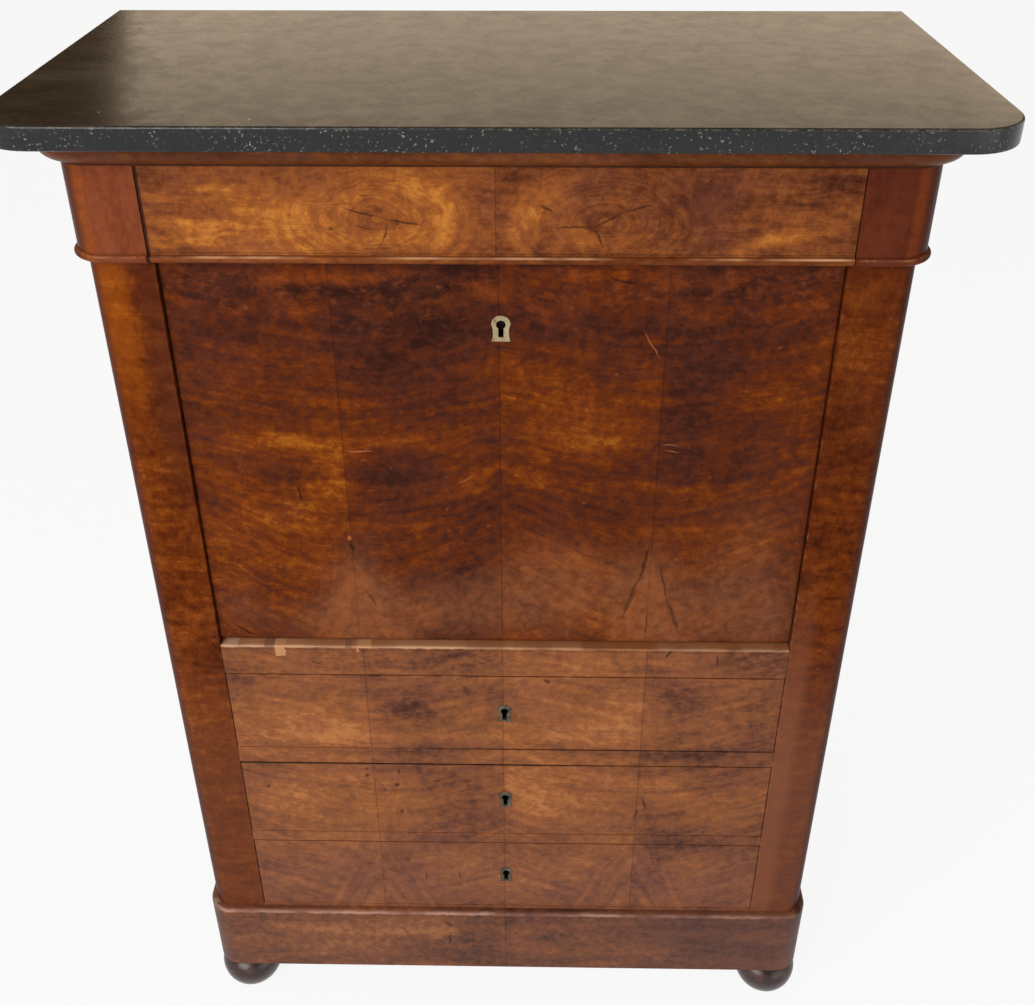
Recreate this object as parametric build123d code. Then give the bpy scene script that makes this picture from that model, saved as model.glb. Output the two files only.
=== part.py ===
from build123d import *
import math
import os

# Fall-front secretary: a veneered cabinet with a stone top, a frieze drawer, a fall front and
# three drawers over a plinth on bun feet.
# Millimetres. X to the right, -Y to the front, +Z up. Origin on the floor, under the middle of the box.

# Body
body_width = 880.0          # across the two front stiles
body_depth = 437.0          # stile face to the rear of the back posts
stile_width = 76.0
corner_radius = 26.0        # rounded outer edge of the stiles

# Heights of the tiers, from the floor up
foot_height = 72.0
plinth_height = 128.0
sill_height = 6.0
drawer_3_opening = 139.0
rail_lower_height = 19.0
drawer_2_opening = 139.0
rail_middle_height = 28.0
drawer_1_opening = 133.0
rail_upper_height = 48.5
fall_opening = 530.5
frieze_height = 106.0
cornice_height = 30.0

# Stone slab
stone_thick = 25.0
stone_side_overhang = 67.0
stone_front_overhang = 63.0
stone_rear_overhang = 5.0
stone_corner_radius = 60.0
stone_arris = 2.5

# Cornice: a step, an ovolo and a cap, seen in section
cornice_seat = 18.0
cornice_flare = 26.0
cornice_step = 3.0
cornice_cap = 6.0
top_board_thick = 22.0

# Frieze
frieze_proud = 9.0
frieze_reveal = 3.0         # frieze drawer past the opening on each side
frieze_block_depth = 50.0
frieze_board_thick = 30.0
frieze_floor_thick = 16.0
frieze_floor_setback = 3.0
frieze_floor_tongue = 8.0
frieze_lip = 11.0           # thickness of the drawer front where it hides the frieze floor
bead_height = 9.0
bead_root = 2.0

# Carcase timber
stile_depth = 50.0
rear_post_size = 45.0
panel_thick = 20.0
panel_recess = 4.0
tongue_depth = 8.0
tongue_thick = 8.0
tenon_length = 20.0
tenon_thick = 12.0
tenon_shoulder = 3.0
back_board_thick = 12.0
back_board_inset = 2.0
back_board_rebate = 10.0
back_board_count = 4
back_board_gap = 0.5
back_board_lap = 8.0        # half-thick edge behind the next board
bottom_board_thick = 20.0

# Plinth and feet
plinth_proud = 9.0
plinth_thick = 28.0
plinth_round = 6.0
plinth_block_size = 70.0
foot_diameter = 92.0
foot_base_diameter = 50.0
foot_neck_diameter = 66.0
foot_collar_diameter = 76.0
foot_collar_height = 7.0
foot_neck_height = 5.0
foot_belly_height = 38.0
foot_overhang = 4.0         # belly past the plinth's front and sides
foot_rear_inset = 1.0
foot_spigot_diameter = 20.0
foot_spigot_length = 40.0

# Drawers
drawer_gap = 1.2            # round a drawer front
runner_gap = 0.3            # under a drawer side
drawer_front_thick = 22.0
drawer_side_thick = 11.0
drawer_back_thick = 10.0
drawer_bottom_thick = 7.0
drawer_bottom_rise = 10.0   # drawer side below its bottom board
drawer_groove = 5.0
drawer_side_drop = 6.0      # sides stop this far under the opening's top
drawer_back_drop = 5.0
drawer_rear_gap = 6.0
dovetail_lap = 8.0          # wood left in front of the dovetails
dovetail_pitch = 34.0
dovetail_root = 0.52        # share of the pitch
dovetail_tip = 0.70
runner_thick = 18.0
runner_width = 30.0         # part of the runner under the drawer side
guide_height = 25.0

# Fall front
fall_thick = 24.0
fall_recess = 6.0
fall_gap = 1.0              # under the fall and in front of the desk floor
fall_side_gap = 1.5
fall_top_gap = 1.5
leather_margin = 45.0
leather_lock_gap = 10.0
leather_thick = 1.2
pivot_radius = 4.0
pivot_clearance = 0.05
pivot_plate_thick = 3.0
pivot_plate_width = 16.0
pivot_plate_height = 45.0
pivot_reach = 13.0          # pin length inside the stile
socket_radius = 8.0
socket_length = 18.0
socket_floor = 3.0

# Quadrant stays
quadrant_radius = 230.0
quadrant_width = 16.0
quadrant_thick = 4.0
quadrant_tail = 3.0         # degrees past the stop pin
quadrant_slot = 16.0        # between the opening's side and the fitment
quadrant_foot_height = 60.0
quadrant_foot_width = 11.0
quadrant_foot_thick = 3.0
stop_pin_radius = 5.0
stop_pin_length = 11.0
stop_gap = 0.4
keeper_thick = 3.0
keeper_height = 56.0
keeper_clearance = 1.0

# Fitment behind the fall
fitment_thick = 10.0
fitment_gap = 2.0           # behind the closed fall
fitment_setback = 40.0      # shelves stand back from the fitment's front
shelf_thick = 9.0
lower_tier_height = 150.0
upper_tier_height = 140.0
lower_tier_bays = 3
upper_tier_bays = 5

# Locks
key_radius = 5.2
key_slot_width = 6.0
key_slot_drop = 15.0
key_rise = 5.0              # drawer keyhole over the middle of its opening
key_depth = 6.0             # keyhole into the lock
fall_key_drop = 76.0        # fall keyhole under the frieze
lock_width = 56.0
lock_thick = 12.0
lock_foot = 24.0            # lock below its keyhole
bolt_width = 24.0
bolt_thick = 6.0
bolt_height = 30.0
bolt_travel = 8.0
bolt_clearance = 0.3
bolt_sink = 1.0
mortise_clearance = 1.0
escutcheon_thick = 1.8
escutcheon_proud = 0.8
escutcheon_rise = 11.0      # plate above the keyhole's round
escutcheon_waist = 1.8      # hollow in each flank
fall_escutcheon_width = 21.0
fall_escutcheon_drop = 20.0 # plate below the keyhole's round
drawer_escutcheon_width = 19.0
drawer_escutcheon_drop = 18.0

edge_tolerance = 0.01

# Levels
plinth_top = foot_height + plinth_height
sill_top = plinth_top + sill_height
drawer_3_top = sill_top + drawer_3_opening
drawer_2_base = drawer_3_top + rail_lower_height
drawer_2_top = drawer_2_base + drawer_2_opening
drawer_1_base = drawer_2_top + rail_middle_height
drawer_1_top = drawer_1_base + drawer_1_opening
fall_base = drawer_1_top + rail_upper_height
frieze_base = fall_base + fall_opening
frieze_top = frieze_base + frieze_height
cornice_top = frieze_top + cornice_height

# Planes across the body
half_body = body_width / 2
half_opening = half_body - stile_width
half_frieze = half_body + frieze_proud
half_frieze_opening = half_opening + frieze_reveal
frieze_inner = half_frieze - frieze_board_thick
half_plinth = half_body + plinth_proud
plinth_inner = half_plinth - plinth_thick
panel_outer = half_body - panel_recess
panel_inner = panel_outer - panel_thick
post_inner = half_body - rear_post_size

# Planes from front to back
total_depth = stone_front_overhang + body_depth + stone_rear_overhang
face_y = stone_front_overhang - total_depth / 2
rear_y = face_y + body_depth
stile_back = face_y + stile_depth
post_front = rear_y - rear_post_size
board_front = rear_y - back_board_inset - back_board_thick
frieze_face = face_y - frieze_proud
plinth_face = face_y - plinth_proud
plinth_back = plinth_face + plinth_thick
drawer_rear = board_front - drawer_rear_gap

# Fall, its pivot and its stays
fall_face = face_y + fall_recess
fall_inside = fall_face + fall_thick
fall_top = frieze_base - fall_top_gap
half_fall = half_opening - fall_side_gap
pivot_y = fall_face + fall_thick / 2
pivot_z = fall_base + fall_gap + fall_thick / 2
desk_top = pivot_z + fall_thick / 2
fitment_outer = half_opening - quadrant_slot
fitment_inner = fitment_outer - fitment_thick
fitment_front = fall_inside + fitment_gap
quadrant_x = half_opening - quadrant_slot / 2
keeper_back = fitment_front + keeper_thick
stop_reach = keeper_back + stop_gap + stop_pin_radius - pivot_y
stop_angle = math.degrees(math.asin(stop_reach / quadrant_radius))


def block(x0, x1, y0, y1, z0, z1):
    """Box between two corners."""
    size = Box(x1 - x0, y1 - y0, z1 - z0)
    return Pos((x0 + x1) / 2, (y0 + y1) / 2, (z0 + z1) / 2) * size


def mirrored(solid):
    """The same piece on the other side of the body."""
    return mirror(solid, about=Plane.YZ)


def both_sides(solid):
    """A left and right pair as two separate solids."""
    return Compound([solid.solid(), mirrored(solid).solid()])


def round_upright(solid, x, y, radius):
    """Round the upright edge that stands at (x, y)."""
    edges = [
        edge
        for edge in solid.edges().filter_by(Axis.Z)
        if math.hypot(edge.center().X - x, edge.center().Y - y) < edge_tolerance
    ]
    return fillet(edges, radius)


def across(section, x0, x1):
    """Extrude a section drawn in (y, z) from x0 to x1."""
    return Pos(x0, 0, 0) * extrude(Plane.YZ * section, amount=x1 - x0)


def into_front(outline, x, z, y0, y1):
    """Extrude an outline drawn in (x, z) from y0 back to y1."""
    plane = Plane(origin=(x, y0, z), x_dir=(1, 0, 0), z_dir=(0, -1, 0))
    return extrude(plane * outline, amount=y0 - y1)


def wrap_path(proud, x_end, z):
    """Path along the body's left side, round the corner and along the front to x_end."""
    x = -(half_body + proud)
    y = face_y - proud
    radius = corner_radius + proud
    side = Line((x, rear_y, z), (x, y + radius, z))
    corner = RadiusArc((x, y + radius, z), (x + radius, y, z), -radius)
    front = Line((x + radius, y, z), (x_end, y, z))
    return Wire([side, corner, front])


def moulding(profile, proud, x_end, z):
    """Sweep a profile, drawn outward and upward from the face, along the wrap path."""
    start = Plane(origin=(-(half_body + proud), rear_y, z), x_dir=(-1, 0, 0), z_dir=(0, 1, 0))
    return sweep(start * profile, path=wrap_path(proud, x_end, z))


def bead_profile():
    """Half-round bead with a root that goes into the wood behind it."""
    radius = bead_height / 2
    root = Pos(-bead_root / 2, radius) * Rectangle(bead_root, bead_height)
    half_plane = Pos(-radius, radius) * Rectangle(bead_height, bead_height)
    return root + (Pos(0, radius) * Circle(radius) - half_plane)


def keyhole(x, z, y0, y1):
    """Keyhole: a round with a slot below it."""
    slot = Pos(0, -key_slot_drop / 2) * Rectangle(key_slot_width, key_slot_drop)
    return into_front(Circle(key_radius) + slot, x, z, y0, y1)


def escutcheon(width, drop, face, z_key):
    """Keyhole plate with an arched top, hollow flanks and spread feet, and the seat it is let into."""
    arch = width / 2
    spring = escutcheon_rise - arch
    waist = (arch - escutcheon_waist, (spring - drop) / 2)
    plate = make_face(
        [
            ThreePointArc((arch, spring), (0, escutcheon_rise), (-arch, spring)),
            ThreePointArc((-arch, spring), (-waist[0], waist[1]), (-arch, -drop)),
            Line((-arch, -drop), (arch, -drop)),
            ThreePointArc((arch, -drop), waist, (arch, spring)),
        ]
    )
    plate_face = face - escutcheon_proud
    seat = into_front(plate, 0, z_key, plate_face, plate_face + escutcheon_thick)
    return seat - keyhole(0, z_key, face - escutcheon_thick, face + escutcheon_thick), seat


def lock(inside, top, z_key):
    """Lock case flush with the inside and the top edge, and its bolt at rest."""
    back = inside - lock_thick
    case = block(-lock_width / 2, lock_width / 2, back, inside, z_key - lock_foot, top)
    bolt_y = inside - lock_thick / 2
    half_w = bolt_width / 2
    half_t = bolt_thick / 2
    bolt_top = top - bolt_sink
    bolt = block(-half_w, half_w, bolt_y - half_t, bolt_y + half_t, bolt_top - bolt_height, bolt_top)
    room = block(
        -half_w - bolt_clearance, half_w + bolt_clearance,
        bolt_y - half_t - bolt_clearance, bolt_y + half_t + bolt_clearance,
        bolt_top - bolt_height - bolt_clearance, top,
    )
    hole = keyhole(0, z_key, back, back + key_depth)
    return case - room - hole, bolt, case


def bolt_mortise(bolt):
    """Room for a thrown bolt in the rail above it."""
    box = bolt.bounding_box()
    return block(
        box.min.X - mortise_clearance, box.max.X + mortise_clearance,
        box.min.Y - mortise_clearance, box.max.Y + mortise_clearance,
        box.max.Z, box.max.Z + bolt_travel + mortise_clearance,
    )


def dovetails(x0, x1, y_root, y_tip, z0, z1):
    """Row of dovetails on the end of a drawer side."""
    count = max(2, round((z1 - z0) / dovetail_pitch))
    pitch = (z1 - z0) / count
    root = pitch * dovetail_root / 2
    tip = pitch * dovetail_tip / 2
    row = []
    for i in range(count):
        z = z0 + (i + 0.5) * pitch
        corners = [(y_root, z - root), (y_tip, z - tip), (y_tip, z + tip), (y_root, z + root)]
        row.append(across(make_face(Polyline(corners, close=True)), x0, x1))
    return row


def drawer_box(half_width, y_front, z_side, z_top):
    """Sides, back and bottom of a drawer whose front's back face is at y_front."""
    x0 = half_width - drawer_side_thick
    lap = y_front - drawer_front_thick + dovetail_lap
    floor_base = z_side + drawer_bottom_rise
    floor_top = floor_base + drawer_bottom_thick
    back_front = drawer_rear - drawer_back_thick
    side = block(x0, half_width, y_front, back_front, z_side, z_top)
    for tail in dovetails(x0, half_width, y_front, lap, z_side, z_top):
        side += tail
    for tail in dovetails(x0, half_width, back_front, drawer_rear, floor_top, z_top - drawer_back_drop):
        side += tail
    bottom = block(
        -x0 - drawer_groove, x0 + drawer_groove,
        y_front - drawer_groove, drawer_rear, floor_base, floor_top,
    )
    side -= bottom
    back = block(-half_width, half_width, back_front, drawer_rear, floor_top, z_top - drawer_back_drop)
    back -= side + mirrored(side)
    return side, back, bottom


nodes = {}

# Frieze floor, under the frieze drawer and over the fall
frieze_floor_top = frieze_base + frieze_floor_thick
frieze_block_back = frieze_face + frieze_block_depth
floor_half = frieze_inner + frieze_floor_tongue
floor_front = face_y + frieze_floor_setback
frieze_floor = block(-floor_half, floor_half, frieze_block_back, board_front, frieze_base, frieze_floor_top)
frieze_floor += block(
    -half_frieze_opening, half_frieze_opening,
    floor_front, frieze_block_back, frieze_base, frieze_floor_top,
)

# Rails between the stiles, with stub tenons
rail_levels = {
    "rail_bottom": (plinth_top, sill_top),
    "rail_lower": (drawer_3_top, drawer_2_base),
    "rail_middle": (drawer_2_top, drawer_1_base),
    "rail_upper": (drawer_1_top, fall_base),
}
tenon_y = face_y + stile_depth / 2
rails = {}
for name, (z0, z1) in rail_levels.items():
    rail = block(-half_opening, half_opening, face_y, stile_back, z0, z1)
    shoulder = min(tenon_shoulder, (z1 - z0) / 4)
    reach = half_opening + tenon_length
    y0 = tenon_y - tenon_thick / 2
    rails[name] = rail + block(-reach, reach, y0, y0 + tenon_thick, z0 + shoulder, z1 - shoulder)

# Side panels with a tongue along each upright edge
panel = block(panel_inner, panel_outer, stile_back, post_front, plinth_top, frieze_base)
tongue_x = (panel_inner + panel_outer - tongue_thick) / 2
panel += block(
    tongue_x, tongue_x + tongue_thick,
    stile_back - tongue_depth, post_front + tongue_depth, plinth_top, frieze_base,
)
nodes["side_panel_right"] = panel
nodes["side_panel_left"] = mirrored(panel)

# Stiles with mortises, panel grooves and pivot seats
pivot_axis = Plane(origin=(half_opening, pivot_y, pivot_z), x_dir=(0, 1, 0), z_dir=(1, 0, 0))
stile = block(half_opening, half_body, face_y, stile_back, plinth_top, frieze_base)
stile = round_upright(stile, half_body, face_y, corner_radius)
for rail in rails.values():
    stile -= rail
stile -= panel
stile -= extrude(pivot_axis * Circle(socket_radius + pivot_clearance), amount=socket_length)
nodes["stile_right"] = stile
nodes["stile_left"] = mirrored(stile)

socket = extrude(pivot_axis * Circle(socket_radius), amount=socket_length)
socket -= extrude(pivot_axis * Circle(pivot_radius + pivot_clearance), amount=socket_length - socket_floor)
nodes["pivot_sockets"] = both_sides(socket)

# Back boards, half-lapped side by side in the posts' rebates
top_board_base = cornice_top - top_board_thick
boards_base = plinth_top - bottom_board_thick
boards_half = post_inner + back_board_rebate
boards_rear = board_front + back_board_thick
lap_plane = (board_front + boards_rear) / 2
board_pitch = 2 * boards_half / back_board_count
boards = []
for i in range(back_board_count):
    gap = back_board_gap if i else 0
    rebate = back_board_lap if i else 0
    lap = back_board_lap if i < back_board_count - 1 else 0
    x0 = -boards_half + i * board_pitch + gap
    x1 = -boards_half + (i + 1) * board_pitch
    board = block(x0, x1, board_front, lap_plane, boards_base, top_board_base)
    board += block(x0 + rebate, x1 + lap, lap_plane, boards_rear, boards_base, top_board_base)
    boards.append(board.solid())
nodes["back_boards"] = Compound(boards)

# Rear posts, narrower where the frieze boards pass outside them
post = block(post_inner, half_body, post_front, rear_y, plinth_top, frieze_base)
post += block(post_inner, frieze_inner, post_front, rear_y, frieze_base, frieze_top)
post -= block(post_inner, boards_half, board_front, rear_y, plinth_top, frieze_top)
post -= panel
nodes["rear_post_right"] = post - frieze_floor
nodes["rear_post_left"] = mirrored(nodes["rear_post_right"])
frieze_floor -= post + mirrored(post)

# Frieze ends: a rounded front block and a side board in one piece, with the bead along the foot
frieze_end = block(-half_frieze, -frieze_inner, frieze_face, rear_y, frieze_base, frieze_top)
frieze_end += block(
    -half_frieze, -half_frieze_opening,
    frieze_face, frieze_block_back, frieze_base, frieze_top,
)
frieze_end = round_upright(frieze_end, -half_frieze, frieze_face, corner_radius + frieze_proud)
bead_base = frieze_base + fall_gap
frieze_end += moulding(bead_profile(), frieze_proud, -half_frieze_opening, bead_base)
frieze_end -= frieze_floor
nodes["frieze_end_left"] = frieze_end
nodes["frieze_end_right"] = mirrored(frieze_end)

# Cornice: step, ovolo and cap, wrapped round three sides
ovolo_top = cornice_height - cornice_cap
ovolo_right = cornice_flare - cornice_step
cornice_section = make_face(
    [
        Polyline(
            (cornice_step, cornice_step),
            (cornice_step, 0),
            (-cornice_seat, 0),
            (-cornice_seat, cornice_height),
            (cornice_flare, cornice_height),
            (cornice_flare, ovolo_top),
            (ovolo_right, ovolo_top),
        ),
        ThreePointArc(
            (ovolo_right, ovolo_top),
            (
                cornice_step + (ovolo_right - cornice_step) * math.sin(math.pi / 4),
                ovolo_top - (ovolo_top - cornice_step) * math.sin(math.pi / 4),
            ),
            (cornice_step, cornice_step),
        ),
    ]
)
half_cornice = moulding(cornice_section, frieze_proud, 0, frieze_top)
cornice = half_cornice + mirrored(half_cornice)
nodes["cornice"] = cornice

top_board = block(
    -half_frieze + cornice_seat, half_frieze - cornice_seat,
    frieze_face + cornice_seat, rear_y, top_board_base, cornice_top,
)
nodes["top_board"] = top_board - cornice

# Stone slab
half_stone = half_body + stone_side_overhang
stone_front = face_y - stone_front_overhang
stone_back = rear_y + stone_rear_overhang
stone = block(-half_stone, half_stone, stone_front, stone_back, cornice_top, cornice_top + stone_thick)
stone = round_upright(stone, -half_stone, stone_front, stone_corner_radius)
stone = round_upright(stone, half_stone, stone_front, stone_corner_radius)
arrises = stone.edges().group_by(Axis.Z)[0] + stone.edges().group_by(Axis.Z)[-1]
stone = fillet([edge for edge in arrises if edge.center().Y < stone_back - stone_arris], stone_arris)
nodes["stone_top"] = stone

# Plinth, mitred at the front corners
plinth = block(-half_plinth, half_plinth, plinth_face, rear_y, foot_height, plinth_top)
plinth = round_upright(plinth, -half_plinth, plinth_face, corner_radius + plinth_proud)
plinth = round_upright(plinth, half_plinth, plinth_face, corner_radius + plinth_proud)
rim = plinth.edges().group_by(Axis.Z)[-1]
plinth = fillet([edge for edge in rim if edge.center().Y < rear_y - plinth_round], plinth_round)
plinth -= block(-plinth_inner, plinth_inner, plinth_back, rear_y, foot_height, plinth_top)
mitre = 2 * plinth_thick
mitre_plan = Polyline(
    (-half_plinth, plinth_face),
    (half_plinth, plinth_face),
    (half_plinth - mitre, plinth_face + mitre),
    (-half_plinth + mitre, plinth_face + mitre),
    close=True,
)
front_part = extrude(Pos(0, 0, foot_height) * make_face(mitre_plan), amount=plinth_height)
plinth_sides = (plinth - front_part).solids().sort_by(Axis.X)
nodes["plinth_front"] = plinth & front_part
nodes["plinth_left"] = plinth_sides[0]
nodes["plinth_right"] = plinth_sides[-1]

# Bottom board, corner blocks under it and the feet
board_base = plinth_top - bottom_board_thick
nodes["bottom_board"] = block(-plinth_inner, plinth_inner, plinth_back, board_front, board_base, plinth_top)

foot_radius = foot_diameter / 2
foot_x = half_plinth + foot_overhang - foot_radius
foot_rows = {
    "feet_front": plinth_face - foot_overhang + foot_radius,
    "feet_rear": rear_y - foot_rear_inset - foot_radius,
}
neck_base = foot_height - foot_collar_height - foot_neck_height
belly = (foot_radius, foot_belly_height)
foot_section = make_face(
    [
        Line((0, 0), (foot_base_diameter / 2, 0)),
        TangentArc(belly, (foot_base_diameter / 2, 0), tangent=(0, -1)),
        TangentArc(belly, (foot_neck_diameter / 2, neck_base), tangent=(0, 1)),
        Polyline(
            (foot_neck_diameter / 2, neck_base),
            (foot_neck_diameter / 2, foot_height - foot_collar_height),
            (foot_collar_diameter / 2, foot_height - foot_collar_height),
            (foot_collar_diameter / 2, foot_height),
            (foot_spigot_diameter / 2, foot_height),
            (foot_spigot_diameter / 2, foot_height + foot_spigot_length),
            (0, foot_height + foot_spigot_length),
            (0, 0),
        ),
    ]
)
foot = revolve(Plane.XZ * foot_section, axis=Axis.Z)
spigot_hole = Cylinder(
    foot_spigot_diameter / 2 + pivot_clearance, foot_spigot_length,
    align=(Align.CENTER, Align.CENTER, Align.MIN),
)
corner_blocks = []
for name, y in foot_rows.items():
    nodes[name] = both_sides(Pos(foot_x, y, 0) * foot)
    y0 = plinth_back if name == "feet_front" else board_front - plinth_block_size
    corner = block(
        plinth_inner - plinth_block_size, plinth_inner,
        y0, y0 + plinth_block_size, foot_height, board_base,
    )
    corner -= Pos(foot_x, y, foot_height) * spigot_hole
    corner_blocks += [corner.solid(), mirrored(corner).solid()]
nodes["plinth_blocks"] = Compound(corner_blocks)

# Runners with guides beside the drawers
runners = []
for base, thick in ((sill_top, sill_height), (drawer_2_base, runner_thick), (drawer_1_base, runner_thick)):
    runner = block(half_opening - runner_width, panel_inner, stile_back, post_front, base - thick, base)
    runner += block(half_opening, panel_inner, stile_back, post_front, base, base + guide_height)
    runners += [runner.solid(), mirrored(runner).solid()]
nodes["drawer_runners"] = Compound(runners)

# Bearers that carry the desk floor, with a lip over the sides of drawer 1
bearer = block(half_opening, panel_inner, stile_back, post_front, drawer_1_top, fall_base)
bearer += block(
    half_opening - runner_width, half_opening, stile_back, post_front,
    drawer_1_top, drawer_1_top + runner_thick,
)
nodes["desk_bearers"] = both_sides(bearer)

# Desk floor, notched round the posts and slotted for the quadrant stays
desk_floor = block(-panel_inner, panel_inner, fall_inside + fall_gap, board_front, fall_base, desk_top)
desk_floor -= block(half_opening, half_body, face_y, stile_back, fall_base, desk_top)
desk_floor -= block(-half_body, -half_opening, face_y, stile_back, fall_base, desk_top)
desk_floor -= post + mirrored(post)
arc_inner = quadrant_radius - quadrant_width / 2
arc_outer = quadrant_radius + quadrant_width / 2
slot = block(
    fitment_outer + keeper_clearance, half_opening - keeper_clearance,
    pivot_y + arc_inner - 2 * keeper_clearance - stop_pin_radius,
    pivot_y + arc_outer + 2 * keeper_clearance,
    fall_base, desk_top,
)
nodes["desk_floor"] = desk_floor - slot - mirrored(slot)

# Quadrant stays: an arc about the pivot with a foot on the fall and a stop pin near its end
arc_low = -stop_angle - quadrant_tail
ring = Circle(arc_outer) - Circle(arc_inner)
wedge_reach = 2 * arc_outer
wedge = make_face(
    Polyline(
        (0, 0),
        (wedge_reach * math.cos(math.radians(arc_low)), wedge_reach * math.sin(math.radians(arc_low))),
        (wedge_reach, wedge_reach),
        (0, wedge_reach),
        close=True,
    )
)
arc_section = Pos(pivot_y, pivot_z) * (ring & wedge)
quadrant = across(arc_section, quadrant_x - quadrant_thick / 2, quadrant_x + quadrant_thick / 2)
foot_base = fall_inside - quadrant_foot_thick
quadrant -= block(0, half_body, face_y, foot_base, pivot_z, frieze_base)
foot_z = pivot_z + quadrant_radius
quadrant_foot = block(
    quadrant_x - quadrant_foot_width / 2, quadrant_x + quadrant_foot_width / 2, foot_base, fall_inside,
    foot_z - quadrant_foot_height / 2, foot_z + quadrant_foot_height / 2,
)
stop_pin = Rot(0, 90, 0) * Cylinder(stop_pin_radius, stop_pin_length)
stop_y = pivot_y + quadrant_radius * math.cos(math.radians(stop_angle))
stop_z = pivot_z - quadrant_radius * math.sin(math.radians(stop_angle))
quadrant += quadrant_foot + Pos(quadrant_x, stop_y, stop_z) * stop_pin
nodes["fall_quadrants"] = both_sides(quadrant)

# Keeper plates at the front of the quadrant slots
keeper_slot = quadrant_thick / 2 + keeper_clearance
keeper = block(
    fitment_outer, half_opening, fitment_front, keeper_back,
    foot_z - keeper_height / 2, foot_z + keeper_height / 2,
)
keeper -= block(
    quadrant_x - keeper_slot, quadrant_x + keeper_slot, fitment_front, keeper_back,
    foot_z - quadrant_width / 2 - 2 * keeper_clearance, foot_z + quadrant_width / 2 + keeper_clearance,
)
nodes["quadrant_keepers"] = both_sides(keeper)

# Fitment: linings, two shelves and the dividers of the lower and upper tiers
lining = block(fitment_inner, fitment_outer, fitment_front, board_front, desk_top, frieze_base)
nodes["fitment_sides"] = both_sides(lining)
shelf_front = fitment_front + fitment_setback
lower_shelf = desk_top + lower_tier_height
upper_shelf = frieze_base - upper_tier_height - shelf_thick
shelves = [
    block(-fitment_inner, fitment_inner, shelf_front, board_front, z, z + shelf_thick).solid()
    for z in (lower_shelf, upper_shelf)
]
nodes["fitment_shelves"] = Compound(shelves)
dividers = []
tiers = (
    (lower_tier_bays, desk_top, lower_shelf),
    (upper_tier_bays, upper_shelf + shelf_thick, frieze_base),
)
for bays, z0, z1 in tiers:
    bay_pitch = 2 * fitment_inner / bays
    for i in range(1, bays):
        x = -fitment_inner + i * bay_pitch
        divider = block(x - shelf_thick / 2, x + shelf_thick / 2, shelf_front, board_front, z0, z1)
        dividers.append(divider.solid())
nodes["fitment_dividers"] = Compound(dividers)

# Fall front with a half-round foot about the pivot
fall_section = make_face(
    [
        Polyline(
            (fall_face, pivot_z),
            (fall_face, fall_top),
            (fall_inside, fall_top),
            (fall_inside, pivot_z),
        ),
        ThreePointArc((fall_inside, pivot_z), (pivot_y, pivot_z - fall_thick / 2), (fall_face, pivot_z)),
    ]
)
fall_panel = across(fall_section, -half_fall, half_fall)
fall_key_z = frieze_base - fall_key_drop
leather = block(
    -half_fall + leather_margin, half_fall - leather_margin,
    fall_inside - leather_thick, fall_inside,
    pivot_z + leather_margin, fall_key_z - lock_foot - leather_lock_gap,
)
nodes["writing_leather"] = leather

plate_plane = Plane(origin=(half_fall, pivot_y, pivot_z), x_dir=(0, 1, 0), z_dir=(1, 0, 0))
plate_outline = Circle(pivot_plate_width / 2)
plate_outline += Pos(0, pivot_plate_height / 2) * Rectangle(pivot_plate_width, pivot_plate_height)
pivot_plate = extrude(plate_plane * plate_outline, amount=-pivot_plate_thick)
pivot_pin = extrude(plate_plane * Circle(pivot_radius), amount=fall_side_gap + pivot_reach)
nodes["fall_pivots"] = both_sides(pivot_plate + pivot_pin)

fall_lock, fall_bolt, fall_lock_seat = lock(fall_inside, fall_top, fall_key_z)
fall_plate, fall_plate_seat = escutcheon(fall_escutcheon_width, fall_escutcheon_drop, fall_face, fall_key_z)
nodes["fall_escutcheon"] = fall_plate
nodes["fall_lock_case"] = fall_lock
nodes["fall_lock_bolt"] = fall_bolt
fall_panel -= leather + pivot_plate + mirrored(pivot_plate) + quadrant_foot + mirrored(quadrant_foot)
fall_panel -= fall_lock_seat + fall_plate_seat + keyhole(0, fall_key_z, fall_face, fall_inside)
nodes["fall_panel"] = fall_panel
nodes["frieze_floor"] = frieze_floor - bolt_mortise(fall_bolt)

# Three drawers under the fall, each with its lock
drawer_levels = {
    "drawer_1": (drawer_1_base, drawer_1_top, "rail_upper"),
    "drawer_2": (drawer_2_base, drawer_2_top, "rail_middle"),
    "drawer_3": (sill_top, drawer_3_top, "rail_lower"),
}
half_drawer = half_opening - drawer_gap
for name, (z0, z1, rail_above) in drawer_levels.items():
    inside = face_y + drawer_front_thick
    top = z1 - drawer_gap
    side, back, bottom = drawer_box(half_drawer, inside, z0 + runner_gap, z1 - drawer_side_drop)
    key_z = (z0 + z1) / 2 + key_rise
    case, bolt, case_seat = lock(inside, top, key_z)
    plate, plate_seat = escutcheon(drawer_escutcheon_width, drawer_escutcheon_drop, face_y, key_z)
    front = block(-half_drawer, half_drawer, face_y, inside, z0 + drawer_gap, top)
    front -= side + mirrored(side) + bottom
    front -= case_seat + plate_seat + keyhole(0, key_z, face_y, inside)
    nodes[name + "_front"] = front
    nodes[name + "_sides"] = Compound([side.solid(), mirrored(side).solid(), back.solid()])
    nodes[name + "_bottom"] = bottom
    nodes[name + "_escutcheon"] = plate
    nodes[name + "_lock_case"] = case
    nodes[name + "_lock_bolt"] = bolt
    rails[rail_above] -= bolt_mortise(bolt)
nodes.update(rails)

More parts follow.
